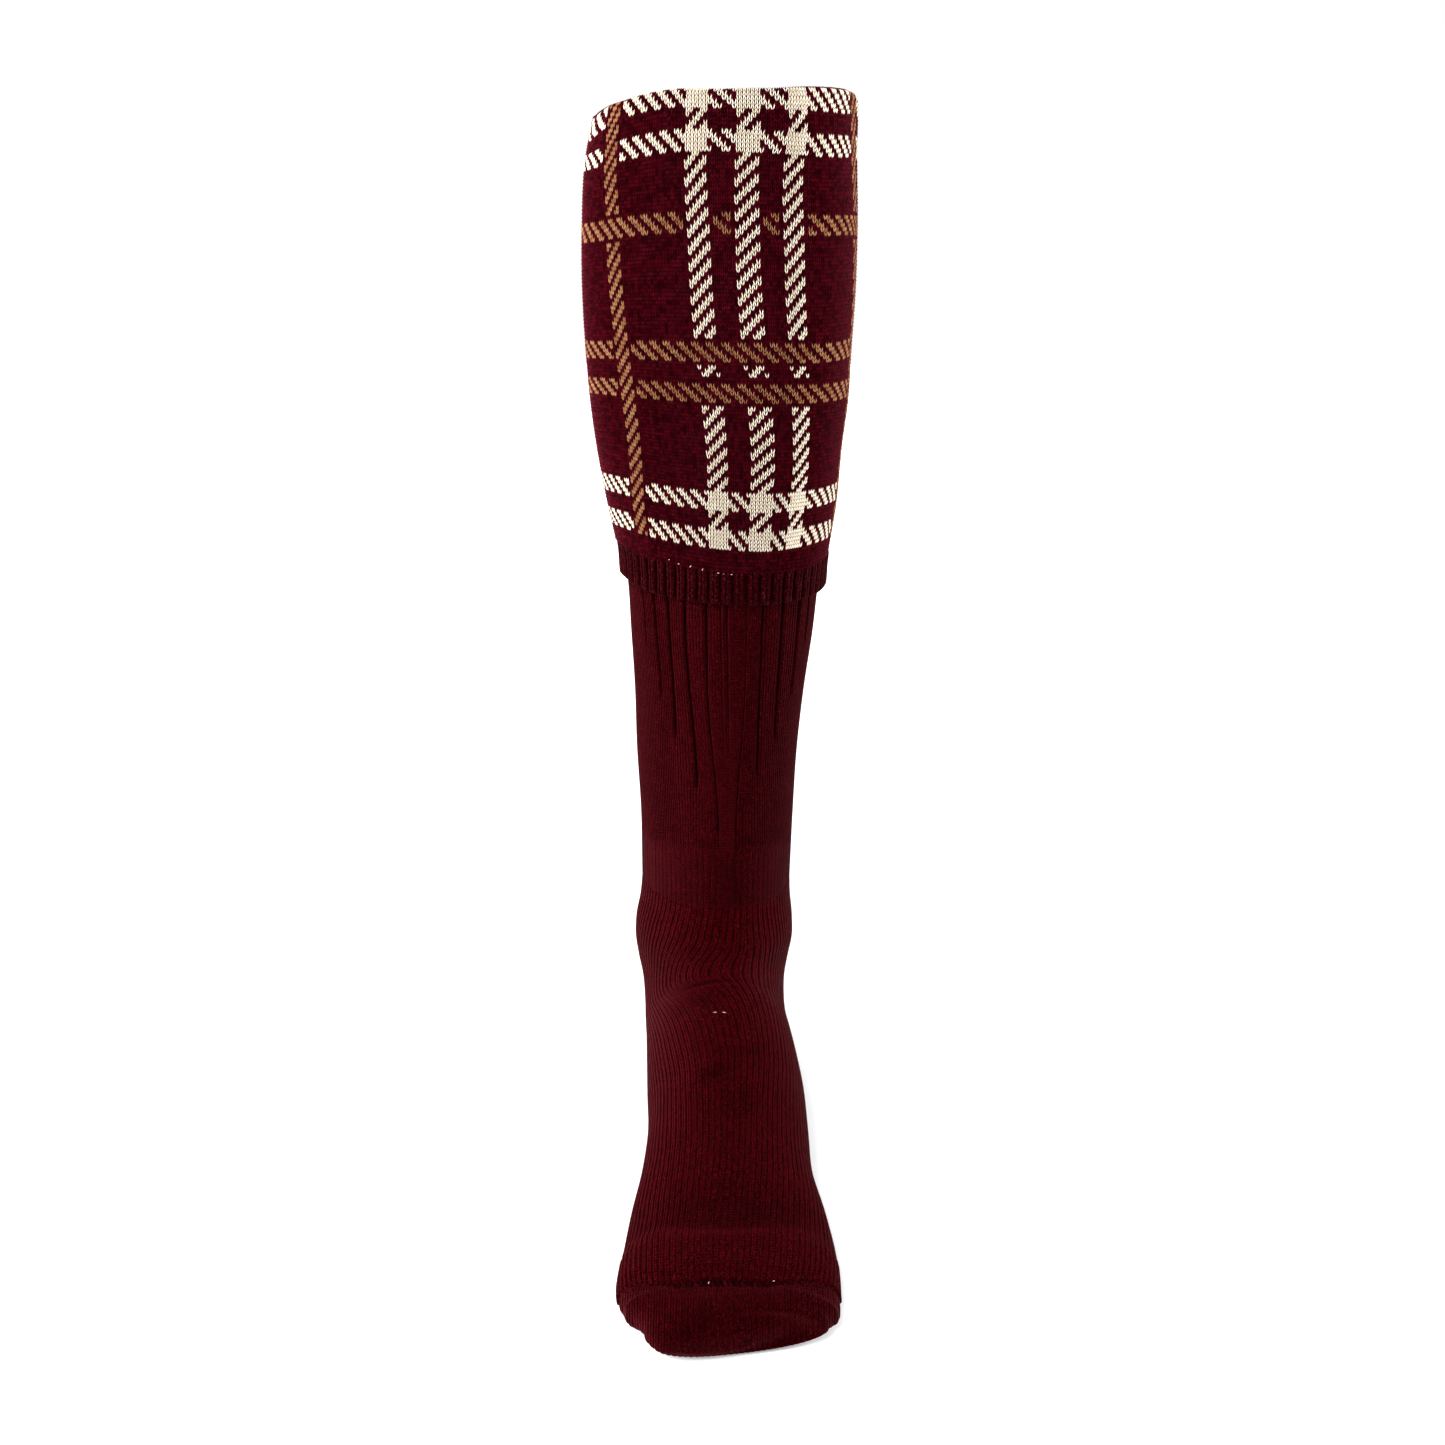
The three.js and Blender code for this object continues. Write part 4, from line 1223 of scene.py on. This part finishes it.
def make_toe():
    even = even_shares(TOE_SAMPLES)
    t = np.linspace(0.0, 1.0, TOE_PIECE_ROWS)[:, None]
    bend = seam_bend(even)[None] * (1 - smooth(0.0, 0.5, t))
    rows = FOOT_ROWS + 1 - bend + (TOE_ROWS - 1.01) * t
    shares = np.broadcast_to(even, rows.shape)
    wale = on_foot(rows, shares, 0 * rows)[..., 0] / TOE_WALE_PITCH
    edge = 1 - smooth(0.0, 0.05, t)
    outside = on_foot(rows, shares, ridge(wale) * TOE_WALE_RELIEF - KNIT_SINK - 0.25 * edge)
    centre = outside[-1].mean(axis=0)
    bulge = np.array([0.0, -TIP_BULGE, 0.0])
    caps = [centre + (outside[-1] - centre) * s + bulge * (1 - s) for s in TIP_SHARES]
    inside = on_foot(rows, shares, np.full(rows.shape, -FOOT_WALL))[: TOE_PIECE_ROWS - 10 : 7]
    rings = np.concatenate([inside[::-1], outside, caps])
    faces = grid_faces(len(rings), TOE_SAMPLES, wrap_rows=False)
    u = rings[..., 0].ravel() / TOE_WALE_PITCH
    v = np.repeat(way_along(rings), TOE_SAMPLES) / ROW_STEP
    uv = np.stack([u, v], axis=1)[faces.ravel()]
    # Painted shade over the whole toe, deeper along its sunk edge by the seam
    hollow = np.full(rings.shape[:2], 0.3)
    hollow[len(inside) : len(inside) + len(outside)] += 0.6 * edge
    return make_object("toe_knit", rings.reshape(-1, 3), faces, foot_wool, uv, hollow=hollow)


SEAM_PITCH = 2.1
SEAM_REACH = 0.27
SEAM_SAMPLES = 504
# Section of the strip under the seam: rows from the foot's end, and height over the surface
SEAM_PROFILE = (
    (-0.1, -0.3), (0.2, -1.0), (0.5, -1.3), (0.8, -1.0), (1.1, -0.3), (1.1, -2.2), (-0.1, -2.2),
)
# A loop of the seam, from the foot to the toe: row, height and painted shade, deepest where it dips
SEAM_LOOP = (
    (-0.08, -0.6, 0.9),
    (0.2, -0.2, 0.35),
    (0.5, -0.05, 0.1),
    (0.8, -0.2, 0.35),
    (1.08, -0.6, 0.9),
)


def make_seam_base():
    """Sunk strip between foot and toe that the seam's loops cross, near black with painted shade."""
    shares = even_shares(SEAM_SAMPLES)
    start = FOOT_ROWS - seam_bend(shares)
    rings = [on_foot(start + row, shares, np.full(SEAM_SAMPLES, up)) for row, up in SEAM_PROFILE]
    v_rows = np.arange(len(rings)) * 0.5
    hollow = np.full((len(rings), SEAM_SAMPLES), 0.95)
    return make_tube("toe_seam_bed", rings, v_rows, FOOT_WALES, foot_wool, hollow=hollow)


def make_seam():
    """Linked seam across the toe: small slanted loops from side to side."""
    rng = np.random.default_rng(11)
    length = np.linalg.norm(np.diff(surface[FOOT_ROWS], axis=0), axis=1).sum()
    step = SEAM_PITCH / length
    middle = np.arange(-SEAM_REACH, SEAM_REACH, step)
    count = len(middle)
    along, rise, hollow = np.transpose(SEAM_LOOP)
    along, rise = along[None, :, None], rise[None, :, None]
    edge = np.array([-1.0, 0.0, 1.0])
    loop_share = middle[:, None, None] + step * ((along - 0.5) * 0.7 + 0.3 * edge)
    loop_share = loop_share + rng.uniform(-0.12, 0.12, (count, 1, 1)) * step
    up = rise - 0.3 * np.abs(edge) + rng.uniform(-0.35, 0.15, (count, 1, 1))
    rows = FOOT_ROWS - seam_bend(loop_share) + along
    points = on_foot(rows, loop_share, up).reshape(-1, 3)
    faces = strip_faces(count, len(SEAM_LOOP))
    ends = smooth(0.1, 0.25, np.abs(middle))
    tone = np.repeat(rng.uniform(0.0, 0.4, count) + 0.5 * ends, 3 * len(SEAM_LOOP))
    hollow = np.tile(np.repeat(hollow, 3), count)
    return make_object("toe_link", points, faces, link_yarn, tone=tone, hollow=hollow)


# Loose pale fibres that stick out of the knit: on the cuff's foot by share and way, on the foot by
# share and row, each with its length and turn
HEM_FIBRES = (
    (-0.08, -2.0, 0.72, 0.4), (-0.064, -1.2, 0.8, -0.3), (-0.045, -0.9, 1.04, 0.9),
    (-0.026, -0.4, 0.96, 1.1), (-0.003, 0.2, 0.88, -0.2), (0.005, 0.3, 0.72, 0.2),
    (0.016, 0.4, 0.64, 0.0),
)
FOOT_FIBRES = (
    (-0.012, 92.0, 1.5, 0.1), (0.003, 92.2, 1.5, -0.1),
    (-0.026, 160.6, 1.1, 1.2), (0.104, 159.6, 1.1, 0.4),
)
FIBRE_HALF = 0.12


def fibre_ribbon(point_at, first, share, length, turn):
    """Three by three points of a short fibre on a surface, bowed outwards."""
    middle = point_at(first, share, 0.0)
    out = point_at(first, share, 1.0) - middle
    across = point_at(first, share + 0.002, 0.0) - middle
    across /= np.linalg.norm(across)
    ahead = math.cos(turn) * across + math.sin(turn) * np.cross(out, across)
    aside = np.cross(out, ahead)
    points = []
    for k in (-0.5, 0.0, 0.5):
        for side in (-1.0, 0.0, 1.0):
            half = FIBRE_HALF * (1.0 if k == 0.0 else 0.5)
            lift = 0.65 - 1.2 * k * k - 0.15 * abs(side)
            points.append(middle + ahead * k * length + aside * side * half + out * lift)
    return points


def make_fibres():
    points = []
    for share, way, length, turn in HEM_FIBRES:
        foot = CUFF_LENGTH + hem_drop(share)
        points += fibre_ribbon(on_face, foot + way, share, length, turn)
    for share, row, length, turn in FOOT_FIBRES:
        points += fibre_ribbon(on_foot, row, share, length, turn)
    faces = strip_faces(len(points) // 9, 3)
    tone = np.full(len(points), 0.8)
    return make_object("loose_fibres", points, faces, fibre_yarn, tone=tone, hollow=0 * tone)


# Assembly

SLOTS = {
    "cuff_backing": ("cuff_knit", ("cuff",)),
    "cream_stitches": ("cuff_knit", ()),
    "tan_stitches": ("cuff_knit", ()),
    "burgundy_stitches_upper": ("cuff_knit", ()),
    "burgundy_stitches_lower": ("cuff_knit", ()),
    "hem_rib": ("hem_rib", ("cuff_hem",)),
    "leg_knit": ("leg_knit", ("leg",)),
    "foot_knit": ("foot_knit", ("foot", "heel")),
    "toe_knit": ("toe_knit", ("toe_cap",)),
    "toe_link": ("toe_link", ("toe_seam",)),
    "toe_seam_bed": ("toe_link", ()),
    "loose_fibres": ("cuff_knit", ()),
}

made = [make_cuff_base(), *make_stitches(), make_hem(), make_leg(), make_foot(), make_toe()]
made += [make_seam_base(), make_seam(), make_fibres()]
for piece in made:
    slot, nodes = SLOTS[piece.name]
    if nodes:
        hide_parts(*nodes)
    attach(piece, "root")


# Stage, light and camera

SOLE = -LEG_HEIGHT * MM
PHOTO_PIXELS = 1445
FOCAL_PIXELS = 1425.6
CAMERA_DISTANCE = 0.6
CAMERA_HEIGHT = 0.368
HORIZON_PIXEL = 278.2

AMBIENT = 1.0
FLOOR_REACH = 6.0
# The floor glows more from one distance to another
FLOOR_GLOW = 0.25
FAR_GLOW = 1.0
GLOW_START = 0.25
GLOW_END = 1.1
# Where the lamps point, and each lamp's name, place, size and power
LIT_POINT = (0.0, 0.0, -0.2)
LAMPS = (
    ("left_side", (-1.15, 0.0, 0.1), 0.8, 10.0),
    ("right_side", (1.15, 0.1, 0.1), 0.7, 10.0),
    ("key", (-0.25, -1.0, 0.5), 0.3, 20.0),
)


def floor_material():
    shader = Shader("floor")
    place = shader.add("ShaderNodeTexCoord").outputs["Object"]
    axes = shader.add("ShaderNodeSeparateXYZ", Vector=place).outputs
    flat = shader.add("ShaderNodeCombineXYZ", X=axes["X"], Y=axes["Y"])
    distance = shader.nodes.new("ShaderNodeVectorMath")
    distance.operation = "LENGTH"
    shader.put(distance.inputs[0], flat.outputs[0])
    glow = shader.add(
        "ShaderNodeMapRange",
        Value=distance.outputs["Value"],
        From_Min=GLOW_START,
        From_Max=GLOW_END,
        To_Min=FLOOR_GLOW,
        To_Max=FAR_GLOW,
    )
    return shader.finish({
        "Base Color": (0.9, 0.9, 0.9, 1.0),
        "Roughness": 0.9,
        "Emission Color": (*WHITE, 1.0),
        "Emission Strength": glow.outputs["Result"],
    })


def make_floor():
    mesh = bpy.data.meshes.new("floor")
    ways = ((-1, -1), (1, -1), (1, 1), (-1, 1))
    corners = [(x * FLOOR_REACH, y * FLOOR_REACH, SOLE) for x, y in ways]
    mesh.from_pydata(corners, [], [(0, 1, 2, 3)])
    mesh.materials.append(floor_material())
    put_in_scene("floor", mesh)


def make_light(name, place, size, power):
    data = bpy.data.lights.new(name, "AREA")
    data.shape = "DISK"
    data.size = size
    data.energy = power
    lamp = put_in_scene(name, data)
    lamp.location = place
    direction = Vector(LIT_POINT) - Vector(place)
    lamp.rotation_euler = direction.to_track_quat("-Z", "Y").to_euler()


def make_world():
    """White to the camera, softer as light."""
    world = bpy.data.worlds.new("studio")
    bpy.context.scene.world = world
    world.use_nodes = True
    nodes, links = world.node_tree.nodes, world.node_tree.links
    seen = nodes["Background"]
    seen.inputs["Color"].default_value = (*WHITE, 1.0)
    seen.inputs["Strength"].default_value = 1.0
    ambient = nodes.new("ShaderNodeBackground")
    ambient.inputs["Strength"].default_value = AMBIENT
    path, blend = nodes.new("ShaderNodeLightPath"), nodes.new("ShaderNodeMixShader")
    links.new(path.outputs["Is Camera Ray"], blend.inputs["Fac"])
    links.new(ambient.outputs[0], blend.inputs[1])
    links.new(seen.outputs[0], blend.inputs[2])
    links.new(blend.outputs[0], nodes["World Output"].inputs["Surface"])


def make_camera():
    data = bpy.data.cameras.new("camera")
    data.sensor_width = 36.0
    data.sensor_fit = "HORIZONTAL"
    data.lens = FOCAL_PIXELS / PHOTO_PIXELS * data.sensor_width
    data.clip_start = 0.01
    camera = put_in_scene("camera", data)
    tilt = math.atan((PHOTO_PIXELS / 2 - HORIZON_PIXEL) / FOCAL_PIXELS)
    camera.location = (0.0, -CAMERA_DISTANCE, SOLE + CAMERA_HEIGHT)
    camera.rotation_euler = (math.pi / 2 - tilt, 0.0, 0.0)
    bpy.context.scene.camera = camera


make_floor()
make_world()
for lamp_values in LAMPS:
    make_light(*lamp_values)
make_camera()
bpy.context.scene.view_settings.view_transform = "Standard"
